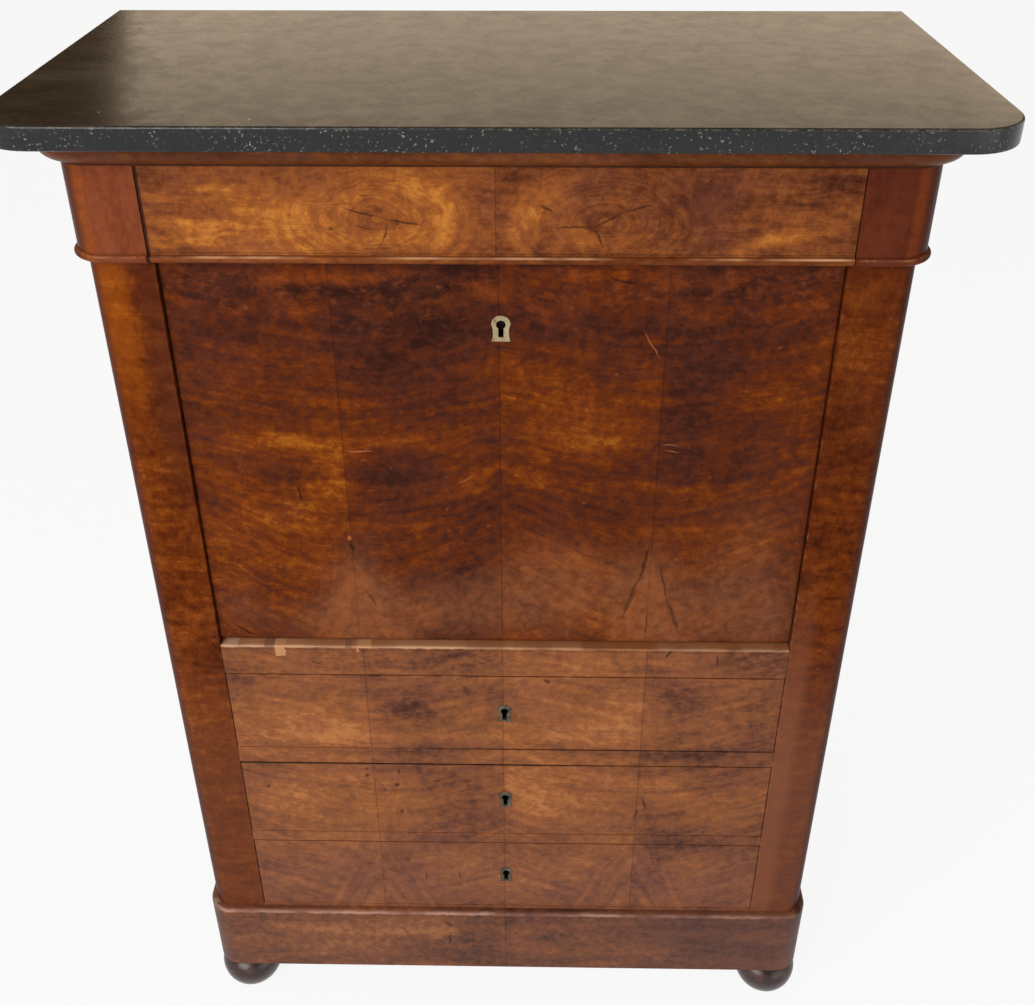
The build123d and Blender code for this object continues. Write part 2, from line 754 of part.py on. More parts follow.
# Frieze drawer: its front hangs over the frieze floor and carries the bead
half_frieze_drawer = half_frieze_opening - drawer_gap
frieze_inside = frieze_face + drawer_front_thick
lip_top = frieze_floor_top + drawer_gap
frieze_front = block(
    -half_frieze_drawer, half_frieze_drawer, frieze_face, frieze_inside, lip_top, frieze_top - drawer_gap,
)
frieze_front += block(
    -half_frieze_drawer, half_frieze_drawer, frieze_face, frieze_face + frieze_lip, bead_base, lip_top,
)
bead_start = Plane(origin=(-half_frieze_drawer, frieze_face, bead_base), x_dir=(0, -1, 0), z_dir=(-1, 0, 0))
frieze_front += extrude(bead_start * bead_profile(), amount=-2 * half_frieze_drawer)
side, back, bottom = drawer_box(
    half_frieze_drawer, frieze_inside, frieze_floor_top + runner_gap, frieze_top - drawer_side_drop,
)
nodes["frieze_drawer_front"] = frieze_front - side - mirrored(side) - bottom
nodes["frieze_drawer_sides"] = Compound([side.solid(), mirrored(side).solid(), back.solid()])
nodes["frieze_drawer_bottom"] = bottom

os.makedirs("parts", exist_ok=True)
for name, shape in nodes.items():
    export_step(shape, os.path.join("parts", name + ".step"))
print(len(nodes), "nodes")
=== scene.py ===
import math

import bpy
from mathutils import Matrix, Vector


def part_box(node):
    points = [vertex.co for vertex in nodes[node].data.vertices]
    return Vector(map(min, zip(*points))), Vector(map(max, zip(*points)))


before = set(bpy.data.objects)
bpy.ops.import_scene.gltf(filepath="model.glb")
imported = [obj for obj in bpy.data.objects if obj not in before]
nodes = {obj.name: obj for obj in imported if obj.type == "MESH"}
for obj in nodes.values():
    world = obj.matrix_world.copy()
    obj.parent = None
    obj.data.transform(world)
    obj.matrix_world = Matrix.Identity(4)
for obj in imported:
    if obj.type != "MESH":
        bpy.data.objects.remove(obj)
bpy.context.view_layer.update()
scene = bpy.context.scene
scene.view_settings.view_transform = "Standard"


def srgb(red, green, blue):
    """Linear colour from display values of 0 to 255."""
    linear = []
    for level in (red, green, blue):
        share = level / 255
        linear.append(share / 12.92 if share < 0.04045 else ((share + 0.055) / 1.055) ** 2.4)
    return (*linear, 1.0)


class Graph:
    """Short calls for the nodes of a tree. Most return an output socket."""

    def __init__(self, tree):
        self.tree = tree

    def new(self, kind, **settings):
        node = self.tree.nodes.new(kind)
        for key, value in settings.items():
            setattr(node, key, value)
        return node

    def put(self, socket, value):
        """Link an output to the socket, or set a constant on it."""
        if isinstance(value, bpy.types.NodeSocket):
            self.tree.links.new(value, socket)
        else:
            socket.default_value = value

    def fill(self, node, values):
        """Put values, by index, into the node's inputs."""
        for index, value in values.items():
            self.put(node.inputs[index], value)
        return node

    def split(self, vector):
        node = self.fill(self.new("ShaderNodeSeparateXYZ"), {0: vector})
        return node.outputs[0], node.outputs[1], node.outputs[2]

    def join(self, x, y, z=0.0):
        return self.fill(self.new("ShaderNodeCombineXYZ"), {0: x, 1: y, 2: z}).outputs[0]

    def math(self, operation, *values):
        node = self.new("ShaderNodeMath", operation=operation)
        return self.fill(node, dict(enumerate(values))).outputs[0]

    def add(self, a, b):
        return self.math("ADD", a, b)

    def minus(self, a, b):
        return self.math("SUBTRACT", a, b)

    def times(self, a, b):
        return self.math("MULTIPLY", a, b)

    def scaled(self, value, by, plus):
        """The value times one number, plus another."""
        return self.math("MULTIPLY_ADD", value, by, plus)

    def abs(self, value):
        return self.math("ABSOLUTE", value)

    def max(self, a, b):
        return self.math("MAXIMUM", a, b)

    def min(self, a, b):
        return self.math("MINIMUM", a, b)

    def step(self, value, low, high, to_low=0.0, to_high=1.0):
        """A smooth step from to_low, where the value is low, to to_high, where it is high."""
        node = self.new("ShaderNodeMapRange", interpolation_type="SMOOTHSTEP")
        return self.fill(node, {0: value, 1: low, 2: high, 3: to_low, 4: to_high}).outputs[0]

    def line(self, value, at, half_width):
        """1 on a line where value equals at, 0 beyond half_width."""
        return self.step(self.abs(self.add(value, -at)), half_width, 0.0)

    def noise(self, vector, scale, detail=2.0, rough=0.5, twist=0.0):
        node = self.new("ShaderNodeTexNoise")
        return self.fill(node, {0: vector, 2: scale, 3: detail, 4: rough, 8: twist}).outputs[0]

    def stretch(self, vector, scale):
        node = self.new("ShaderNodeMapping", vector_type="POINT")
        return self.fill(node, {0: vector, 3: scale}).outputs[0]

    def wobble(self, vector, scale, amount, detail=2.0):
        """The vector, pushed about by noise."""
        noise = self.new("ShaderNodeTexNoise")
        self.fill(noise, {0: vector, 2: scale, 3: detail})
        centred = self.new("ShaderNodeVectorMath", operation="MULTIPLY_ADD")
        self.fill(centred, {0: noise.outputs[1], 1: (amount,) * 3, 2: (-amount / 2,) * 3})
        moved = self.new("ShaderNodeVectorMath", operation="ADD")
        return self.fill(moved, {0: vector, 1: centred.outputs[0]}).outputs[0]

    def cells(self, vector, scale, feature="F1"):
        """Distance in scattered cells, and the colour of each."""
        node = self.new("ShaderNodeTexVoronoi", feature=feature)
        self.fill(node, {0: vector, 2: scale})
        return node.outputs[0], node.outputs[1]

    def ramp(self, value, stops):
        """The colour of a value among stops of (position, colour)."""
        node = self.fill(self.new("ShaderNodeValToRGB"), {0: value})
        points = node.color_ramp.elements
        while len(points) < len(stops):
            points.new(0.5)
        for point, (position, colour) in zip(points, stops):
            point.position = position
            point.color = colour
        return node.outputs[0]

    def mix(self, share, a, b):
        node = self.new("ShaderNodeMix", data_type="RGBA")
        return self.fill(node, {0: share, 6: a, 7: b}).outputs[2]

    def lay(self, colour, tint, mask, share):
        """The colour with a tint laid over it, by a mask times a share."""
        return self.mix(self.times(mask, share), colour, tint)

    def spots(self, plane, rows):
        """Soft spots (x, z, half width, half height, turn in degrees, strength) added up to one mask."""
        total = 0.0
        for x, z, wide, high, turn, strength in rows:
            local = self.new("ShaderNodeMapping", vector_type="TEXTURE")
            self.fill(local, {0: plane, 1: (x, z, 0), 2: (0, 0, math.radians(turn)), 3: (wide, high, 1)})
            spot = self.new("ShaderNodeTexGradient", gradient_type="SPHERICAL")
            self.fill(spot, {0: local.outputs[0]})
            total = self.scaled(spot.outputs[1], strength, total)
        return total

    def patch(self, plane, x0, x1, z0, z1, soft=0.0008):
        """1 inside a rectangle of the plane, 0 outside it."""
        x, z, _ = self.split(plane)
        wide = self.times(self.step(x, x0 - soft, x0 + soft), self.step(x, x1 + soft, x1 - soft))
        high = self.times(self.step(z, z0 - soft, z0 + soft), self.step(z, z1 + soft, z1 - soft))
        return self.times(wide, high)

    def seen(self):
        """1 where the camera looks, straight or in a reflection or through glass."""
        rays = self.new("ShaderNodeLightPath").outputs
        mirrored = self.max(rays["Is Glossy Ray"], rays["Is Transmission Ray"])
        return self.max(rays["Is Camera Ray"], mirrored)


class Surface(Graph):
    """A material, its shader and the place and normal that its nodes read."""

    def __init__(self, name):
        self.material = bpy.data.materials.new(name)
        self.material.use_nodes = True
        super().__init__(self.material.node_tree)
        self.tree.nodes.clear()
        self.shader = self.new("ShaderNodeBsdfPrincipled")
        self.output = self.new("ShaderNodeOutputMaterial").inputs[0]
        self.put(self.output, self.shader.outputs[0])
        texture = self.new("ShaderNodeTexCoord")
        self.place = texture.outputs["Object"]
        self.normal = texture.outputs["Normal"]
        self.x, self.y, self.z = self.split(self.place)

    def runs(self, scale, low, high):
        """Long uneven stretches along x, from 0 to 1."""
        return self.step(self.noise(self.join(self.times(self.x, scale), self.z), 1.0, 3, 0.6), low, high)

    def finish(self, colour, rough, height, strength, distance):
        """Join colour, roughness and relief to the shader. Strength and distance are the relief's."""
        self.put(self.shader.inputs["Base Color"], colour)
        self.put(self.shader.inputs["Roughness"], rough)
        bump = self.new("ShaderNodeBump")
        bump.inputs["Strength"].default_value = strength
        bump.inputs["Distance"].default_value = distance
        self.put(bump.inputs["Height"], height)
        self.put(self.shader.inputs["Normal"], bump.outputs[0])
        return self.material


def stroke(x0, z0, x1, z1, width, strength=1.0):
    """A thin spot along the line between two points, for a crack or a streak."""
    length = math.hypot(x1 - x0, z1 - z0) / 2
    turn = math.degrees(math.atan2(z1 - z0, x1 - x0))
    return ((x0 + x1) / 2, (z0 + z1) / 2, length, width, turn, strength)


# Wood tones
UMBER = srgb(48, 22, 16)
PLUM = srgb(74, 34, 21)
RUSSET = srgb(96, 42, 14)
AMBER = srgb(124, 59, 13)
HONEY = srgb(158, 91, 24)
CHESTNUT = srgb(124, 64, 28)
ROSE = srgb(128, 68, 40)
PALE = srgb(178, 132, 98)
RUBBED = srgb(186, 112, 60)
BLUSH = srgb(132, 76, 62)
INK = srgb(22, 12, 10)
OXBLOOD = srgb(62, 19, 7)
FALL_TONES = [(0.05, UMBER), (0.28, PLUM), (0.50, RUSSET), (0.74, AMBER), (0.97, HONEY)]


def scales(along, lengthwise, crosswise):
    """Scales on x, y and z for grain that runs along one of them."""
    return tuple(lengthwise if axis == along else crosswise for axis in "xyz")


def wood(name, along, tones, figure=None, lift=(), sink=(), tints=(), leaves=(), first=0.0, cracks=(),
         marks=(), roughness=0.36, shine=0.10, wear_and_painted_light=None, other_faces=None, bold=1.0, blushing=0.22,
         turned=None):
    """Waxed wood.

    along: the grain's direction, "x", "y" or "z"; tones: the ramp from dark to light;
    figure: a function of the graph and its plane that gives the streaks;
    lift and sink: spots that are lighter and darker; tints: (colour, spots, share) laid over them;
    leaves: (seam, tone beyond it) for each sheet of veneer after the first; first: the first one's tone;
    cracks: dark strokes; marks: pale strokes; roughness: its mean; shine: the specular level;
    worn: a function that lays wear and painted light (shade, highlights and reflections) over the colour;
    other_faces: the tones of all faces but the front;
    bold: how strong the figure is; blushing: the share of pink in its clouds;
    turned: (share, start, full) of the painted shade on rounded corners, by how far they turn to the side.
    """
    g = Surface(name)
    plane = g.join(g.x, g.z)
    loose = g.wobble(plane, 18, 0.026, 4)
    stretched = {"x": (2.2, 9, 16), "y": (9, 2.2, 16), "z": (14, 14, 2.0)}[along]
    fibre = scales(along, 24, 420)
    dashed = scales(along, 90, 190)
    broad = g.step(g.noise(g.place, 7, 4, 0.6, 0.4), 0.3, 0.7)
    field = figure(g, plane) if figure else g.noise(g.stretch(g.place, stretched), 1.6, 5, 0.62, 0.6)
    streaks = g.step(field, 0.3, 0.7)
    veins = g.step(g.math("PINGPONG", g.times(field, 9.0), 0.5), 0.12, 0.0)
    mottle = g.noise(g.wobble(g.place, 40, 0.012), 75, 5, 0.7)
    clouds = g.step(mottle, 0.32, 0.68)
    drift = g.wobble(g.place, 30, 0.022, 4)
    dashes = g.noise(g.stretch(drift, dashed), 1.0, 4, 0.65, 0.5)
    hatch = g.step(dashes, 0.34, 0.66)
    pores = g.noise(g.stretch(g.place, fibre), 1.0, 3, 0.6)
    shares = [(broad, 0.16 * bold), (streaks, 0.24 * bold), (clouds, 0.22 * bold), (hatch, 0.10 * bold)]
    value = 0.5 - sum(share for _, share in shares) / 2 + first
    for layer, share in shares:
        value = g.scaled(layer, share, value)
    tone = first
    for seam, beyond in leaves:
        value = g.scaled(g.math("GREATER_THAN", g.x, seam), beyond - tone, value)
        tone = beyond
    plain = value
    if lift:
        value = g.scaled(g.min(g.spots(loose, lift), 1.0), 0.34, value)
    if sink:
        value = g.scaled(g.min(g.spots(loose, sink), 1.0), -0.34, value)
    colour = g.ramp(value, tones)
    for tint, rows, share in tints:
        mask = g.step(g.spots(loose, rows), 0.0, 0.8)
        colour = g.lay(colour, tint, mask, g.step(mottle, 0.30, 0.70, share * 0.55, share * 1.35))
    blush = g.step(g.noise(g.place, 11, 4, 0.6, 0.5), 0.44, 0.66)
    colour = g.lay(colour, BLUSH, blush, blushing)
    colour = g.lay(colour, UMBER, g.times(veins, clouds), 0.22)
    colour = g.mix(g.step(pores, 0.58, 0.74, 0.0, 0.34), colour, UMBER)
    near, cell = g.cells(g.wobble(g.place, 120, 0.008), 62)
    rare = g.math("GREATER_THAN", g.split(cell)[0], 0.90)
    nick = g.times(g.step(near, 0.22, 0.06), rare)
    colour = g.lay(colour, RUBBED, nick, 0.20)
    depth = g.scaled(pores, -0.25, g.times(clouds, 0.10))
    for seam, _ in leaves:
        mask = g.line(g.scaled(mottle, 0.0012, g.x), seam + 0.0006, 0.0013)
        colour = g.lay(colour, INK, mask, 0.42)
        depth = g.scaled(mask, -0.5, depth)
    if cracks:
        mask = g.step(g.spots(g.wobble(plane, 55, 0.007), cracks), 0.0, 0.6)
        colour = g.lay(colour, INK, mask, 0.66)
        depth = g.scaled(mask, -0.7, depth)
    if marks:
        mask = g.step(g.spots(g.wobble(plane, 70, 0.005), marks), 0.0, 0.7)
        colour = g.lay(colour, RUBBED, mask, 0.55)
    if other_faces:
        front = g.step(g.split(g.normal)[1], -0.5, -0.8)
        colour = g.mix(front, g.ramp(plain, other_faces), colour)
    if wear_and_painted_light:
        colour = wear_and_painted_light(g, colour, mottle)
    # Painted shade on rounded corners, darker as they turn to the side
    if turned:
        share, start, full = turned
        bend = g.abs(g.split(g.normal)[0])
        mask = g.times(g.step(bend, start, full), g.step(bend, 0.998, 0.965))
        colour = g.lay(colour, OXBLOOD, mask, share)
    rough = g.scaled(mottle, 0.26, roughness - 0.13)
    g.shader.inputs["Specular IOR Level"].default_value = shine
    return g.finish(colour, rough, depth, 0.22, 0.0012)


def flame(fold, apex, bowl, deepen):
    """Streaks of book-matched leaves: bowls above the apex on each fold and tents under it."""
    def figure(g, plane):
        x, z, _ = g.split(g.wobble(plane, 11, 0.03, 4))
        leaf = g.abs(g.add(g.abs(x), -fold))
        slope = g.scaled(z, -deepen, bowl + deepen * (apex + 0.17))
        slope = g.max(slope, bowl)
        rise = g.times(g.times(leaf, leaf), slope)
        level = g.minus(z, rise)
        bowls = g.noise(g.join(g.times(leaf, 6), g.times(level, 52)), 1.0, 5, 0.65, 0.4)
        ridge = g.times(g.add(z, g.times(leaf, 2.4)), 30)
        tents = g.noise(g.join(g.times(leaf, 12), ridge), 1.0, 4, 0.6, 0.3)
        under = g.step(g.add(z, g.times(leaf, 2.2)), apex + 0.03, apex - 0.04)
        return g.add(g.times(bowls, g.minus(1.0, under)), g.times(tents, under))
    return figure


def swirl(eyes, reach):
    """Rings round eyes on both sides of a seam, running out into streaks."""
    def figure(g, plane):
        x, z, _ = g.split(g.wobble(plane, 22, 0.018, 4))
        near = 1.0
        for ex, ez in eyes:
            dx = g.times(g.add(x, -ex), 0.62)
            dz = g.add(z, -ez)
            away = g.math("SQRT", g.add(g.times(dx, dx), g.times(dz, dz)))
            near = g.min(near, away)
        rings = g.noise(g.join(g.times(near, 150), g.times(z, 6)), 1.0, 4, 0.65)
        runs = g.noise(g.join(g.times(x, 9), g.times(z, 75)), 1.0, 5, 0.65, 0.8)
        close = g.step(near, reach, reach * 0.4)
        return g.add(g.times(rings, close), g.times(runs, g.minus(1.0, close)))
    return figure


def upright(g, _plane):
    """Long streaks of plain upright veneer."""
    rows = g.wobble(g.place, 5, 0.05, 3)
    return g.noise(g.stretch(rows, (34, 34, 1.6)), 1.0, 6, 0.62, 0.4)


def keyhole_shade(g, colour, plate):
    """Painted shade on the wood inside the keyhole behind a plate."""
    low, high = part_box(plate)
    inside = g.patch(g.join(g.x, g.z), low.x, high.x, low.z, high.z)
    return g.lay(colour, INK, g.times(inside, g.step(g.y, high.y, high.y + 0.0008)), 0.92)


INNER_TONES = [(0.15, UMBER), (0.50, CHESTNUT), (0.90, ROSE)]

# Where the fall's leaves fold, out from the middle, and the height of the feathers' crests
FALL_FOLD = 0.181
FALL_APEX = 0.878


def fall_wood():
    """The fall's veneer: four leaves with feathers at their foot and burr along their head."""
    lift = [
        (-0.247, 1.013, 0.105, 0.018, 0, 0.9), (-0.198, 0.972, 0.034, 0.055, 0, 0.9),
        (-0.312, 0.940, 0.060, 0.080, 0, 0.45), (-0.250, 0.918, 0.080, 0.030, 8, 0.7),
        (0.065, 1.055, 0.110, 0.065, -10, 0.45), (0.125, 1.035, 0.060, 0.050, 0, 0.35),
        (0.300, 1.070, 0.100, 0.040, 0, 0.5), (0.100, 1.212, 0.060, 0.024, 0, 0.6),
        (0.020, 0.985, 0.050, 0.036, 0, 0.4), (-0.110, 1.020, 0.090, 0.030, 5, 0.3),
        (-0.030, 1.060, 0.045, 0.050, 0, 0.3), (0.340, 0.980, 0.040, 0.120, 0, 0.35),
        (-0.040, 0.985, 0.040, 0.050, 30, 0.4), (-0.320, 0.860, 0.060, 0.070, 0, 0.3),
        (0.060, 0.840, 0.090, 0.060, 0, 0.3), (0.110, 0.800, 0.060, 0.060, 0, 0.3),
    ]
    # The first spot, broad over the fall's head, is painted shade that darkens its upper part
    sink = [
        (0.0, 1.240, 0.700, 0.420, 0, 0.34), (-0.120, 1.130, 0.110, 0.090, 0, 0.55),
        (-0.250, 1.160, 0.150, 0.060, 0, 0.40),
        (-0.140, 0.957, 0.050, 0.055, 0, 0.60), (-0.090, 0.955, 0.055, 0.060, 0, 0.50),
        (-0.056, 0.800, 0.080, 0.120, 0, 0.45), (0.225, 1.150, 0.110, 0.100, 0, 0.60),
        (0.210, 1.070, 0.040, 0.150, 0, 0.50), (0.285, 0.940, 0.070, 0.060, 0, 0.45),
        (0.290, 0.805, 0.080, 0.060, 0, 0.20), (0.085, 0.910, 0.100, 0.070, 0, 0.35),
        (0.030, 1.165, 0.090, 0.050, 0, 0.50), (-0.310, 1.215, 0.080, 0.040, 0, 0.70),
        (-0.180, 1.205, 0.120, 0.034, 0, 0.55), (0.300, 1.220, 0.120, 0.030, 0, 0.60),
        (-0.345, 1.130, 0.040, 0.120, 0, 0.45), (0.140, 0.930, 0.050, 0.100, 0, 0.30),
        (-0.020, 0.870, 0.045, 0.100, 0, 0.30), (-0.040, 1.225, 0.080, 0.030, 0, 0.60),
        (-0.270, 0.962, 0.050, 0.030, 0, 0.40), (0.120, 1.160, 0.080, 0.080, 0, 0.40),
        (-0.060, 1.170, 0.090, 0.060, 0, 0.35),
    ]
    rosy = [
        (-0.182, 0.780, 0.060, 0.130, 0, 0.9), (-0.150, 0.745, 0.070, 0.060, 0, 0.7),
        (-0.235, 0.750, 0.090, 0.060, 0, 0.6), (0.180, 0.780, 0.060, 0.130, 0, 0.9),
        (0.070, 0.800, 0.130, 0.110, 0, 0.9), (0.215, 0.750, 0.070, 0.060, 0, 0.7),
        (-0.330, 0.770, 0.050, 0.080, 0, 0.4), (0.330, 0.740, 0.060, 0.050, 0, 0.5),
        (0.290, 0.790, 0.120, 0.100, 0, 0.9), (-0.070, 0.770, 0.130, 0.080, 0, 0.7),
        (0.300, 0.900, 0.090, 0.080, 0, 0.4),
    ]
    flecks = [
        (-0.237, 1.218, 0.055, 0.012, 3, 0.8), (-0.170, 1.222, 0.045, 0.016, 0, 0.9),
        (-0.010, 1.208, 0.060, 0.018, -4, 0.9), (0.175, 1.223, 0.035, 0.014, 0, 0.9),
        (-0.100, 1.225, 0.055, 0.010, 0, 0.7), (0.060, 1.226, 0.045, 0.010, 0, 0.7),
        (0.240, 1.226, 0.040, 0.010, 0, 0.5), (-0.060, 1.190, 0.045, 0.014, 8, 0.6),
    ]
    cracks = [
        stroke(0.179, 0.880, 0.166, 0.810, 0.0030), stroke(0.169, 0.830, 0.146, 0.748, 0.0036),
        stroke(0.190, 0.850, 0.206, 0.775, 0.0018), stroke(0.203, 0.790, 0.224, 0.728, 0.0032),
        stroke(-0.172, 0.800, -0.157, 0.772, 0.0034), stroke(-0.187, 0.874, -0.182, 0.858, 0.0040),
        stroke(0.180, 0.770, 0.180, 0.725, 0.0018), stroke(-0.345, 0.742, -0.315, 0.722, 0.0026),
        stroke(-0.242, 0.960, -0.239, 0.930, 0.0026),
        stroke(0.110, 1.222, 0.150, 1.216, 0.0022), stroke(-0.062, 1.214, -0.048, 1.207, 0.0044),
    ]
    marks = [
        stroke(-0.184, 1.004, -0.146, 1.003, 0.0014, 1.4), stroke(0.153, 1.164, 0.177, 1.123, 0.0010, 1.2),
        (-0.186, 0.879, 0.003, 0.004, 0, 2.0), stroke(0.180, 1.016, 0.206, 1.014, 0.0012, 0.9),
        stroke(0.184, 1.008, 0.208, 1.004, 0.0012, 0.8), stroke(-0.054, 0.958, -0.030, 0.974, 0.0018, 0.6),
    ]

    def wear_and_painted_light(g, colour, mottle):
        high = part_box("fall_panel")[1]
        front = g.step(g.split(g.normal)[1], -0.5, -0.8)
        rise = g.scaled(mottle, 0.05, g.z)
        burr = g.times(g.step(rise, high.z - 0.075, high.z - 0.020), front)
        curls = g.noise(g.stretch(g.wobble(g.place, 34, 0.02, 4), (46, 46, 74)), 1.0, 6, 0.75)
        colour = g.lay(colour, srgb(142, 70, 32), burr, g.step(curls, 0.50, 0.70, 0.0, 0.50))
        colour = g.lay(colour, srgb(46, 26, 22), burr, g.step(curls, 0.49, 0.32, 0.0, 0.45))
        leaf = g.abs(g.add(g.abs(g.x), -FALL_FOLD))
        crest = g.add(g.scaled(leaf, 2.2, g.z), g.times(mottle, 0.05))
        feather = g.times(g.step(crest, FALL_APEX + 0.030, FALL_APEX - 0.030), front)
        colour = g.lay(colour, srgb(158, 92, 52), feather, g.step(mottle, 0.30, 0.70, 0.10, 0.30))
        # Painted shade along the fall's sides, in the gaps beside the stiles
        edge = g.minus(high.x, g.abs(g.x))
        edge = g.step(g.scaled(mottle, 0.004, edge), 0.0042, 0.0026)
        colour = g.lay(colour, INK, edge, 0.25)
        # Painted shade inside the fall's keyhole
        return keyhole_shade(g, colour, "fall_escutcheon")

    figure = flame(FALL_FOLD, FALL_APEX, bowl=1.0, deepen=8.0)
    tints = [(srgb(140, 88, 58), rosy, 0.48), (srgb(150, 72, 22), flecks, 0.30)]
    leaves = [(-0.184, -0.04), (-0.002, 0.04), (0.180, -0.03)]
    return wood(
        "fall_veneer", "x", FALL_TONES, figure, lift=lift, sink=sink, tints=tints, leaves=leaves,
        first=0.05, cracks=cracks, marks=marks, shine=0.04, wear_and_painted_light=wear_and_painted_light, other_faces=INNER_TONES,
        bold=1.3, blushing=0.06,
    )


def frieze_wood():
    """The frieze drawer's veneer: two leaves that swirl round an eye on each side of the seam."""
    lift = [
        (-0.060, 1.292, 0.020, 0.050, 0, 0.8), (-0.085, 1.326, 0.045, 0.016, -25, 0.7),
        (0.045, 1.315, 0.050, 0.030, 30, 0.9), (0.022, 1.280, 0.022, 0.045, 0, 0.8),
        (0.085, 1.270, 0.060, 0.018, 0, 0.5), (-0.315, 1.278, 0.050, 0.024, -20, 0.6),
        (-0.238, 1.298, 0.050, 0.018, 0, 0.5), (-0.270, 1.300, 0.120, 0.070, 0, 0.5),
        (0.300, 1.276, 0.085, 0.013, 14, 0.8),
        (0.330, 1.296, 0.060, 0.010, 16, 0.7), (0.260, 1.262, 0.060, 0.010, 12, 0.6),
        (-0.130, 1.272, 0.070, 0.014, 0, 0.5), (-0.160, 1.316, 0.050, 0.012, 10, 0.3),
    ]
    sink = [
        (0.210, 1.322, 0.070, 0.040, 0, 0.5), (-0.200, 1.330, 0.080, 0.022, 0, 0.4),
        (-0.022, 1.310, 0.016, 0.050, 0, 0.5), (0.020, 1.335, 0.020, 0.020, 0, 0.4),
        (0.330, 1.330, 0.050, 0.022, 0, 0.4), (0.170, 1.290, 0.040, 0.040, 0, 0.3),
        (0.250, 1.310, 0.130, 0.060, 0, 0.35), (-0.130, 1.295, 0.060, 0.050, 0, 0.25),
        (-0.340, 1.330, 0.040, 0.026, 0, 0.4), (0.000, 1.262, 0.060, 0.010, 0, 0.4),
    ]
    cracks = [
        stroke(-0.166, 1.309, -0.112, 1.291, 0.0015), stroke(-0.118, 1.292, -0.074, 1.286, 0.0018),
        stroke(-0.113, 1.291, -0.121, 1.264, 0.0014), stroke(-0.150, 1.288, -0.128, 1.280, 0.0012),
        stroke(0.052, 1.284, 0.098, 1.285, 0.0015), stroke(0.094, 1.283, 0.126, 1.301, 0.0018),
        stroke(0.120, 1.299, 0.160, 1.311, 0.0015), stroke(0.096, 1.285, 0.108, 1.258, 0.0016),
        stroke(0.040, 1.310, 0.058, 1.298, 0.0016), stroke(-0.176, 1.285, -0.170, 1.279, 0.0034),
    ]
    tones = [(0.05, srgb(56, 24, 13)), (0.28, srgb(92, 46, 23)), (0.50, srgb(124, 68, 34)),
             (0.74, srgb(154, 88, 38)), (0.97, srgb(190, 120, 50))]
    eyes = [(-0.125, 1.294), (0.108, 1.290)]
    return wood(
        "frieze_veneer", "x", tones, swirl(eyes, reach=0.10), lift=lift, sink=sink, leaves=[(-0.004, -0.05)],
        first=0.09, cracks=cracks, shine=0.07, wear_and_painted_light=bead_wear_and_painted_light, other_faces=INNER_TONES, bold=1.2,
        blushing=0.20,
    )


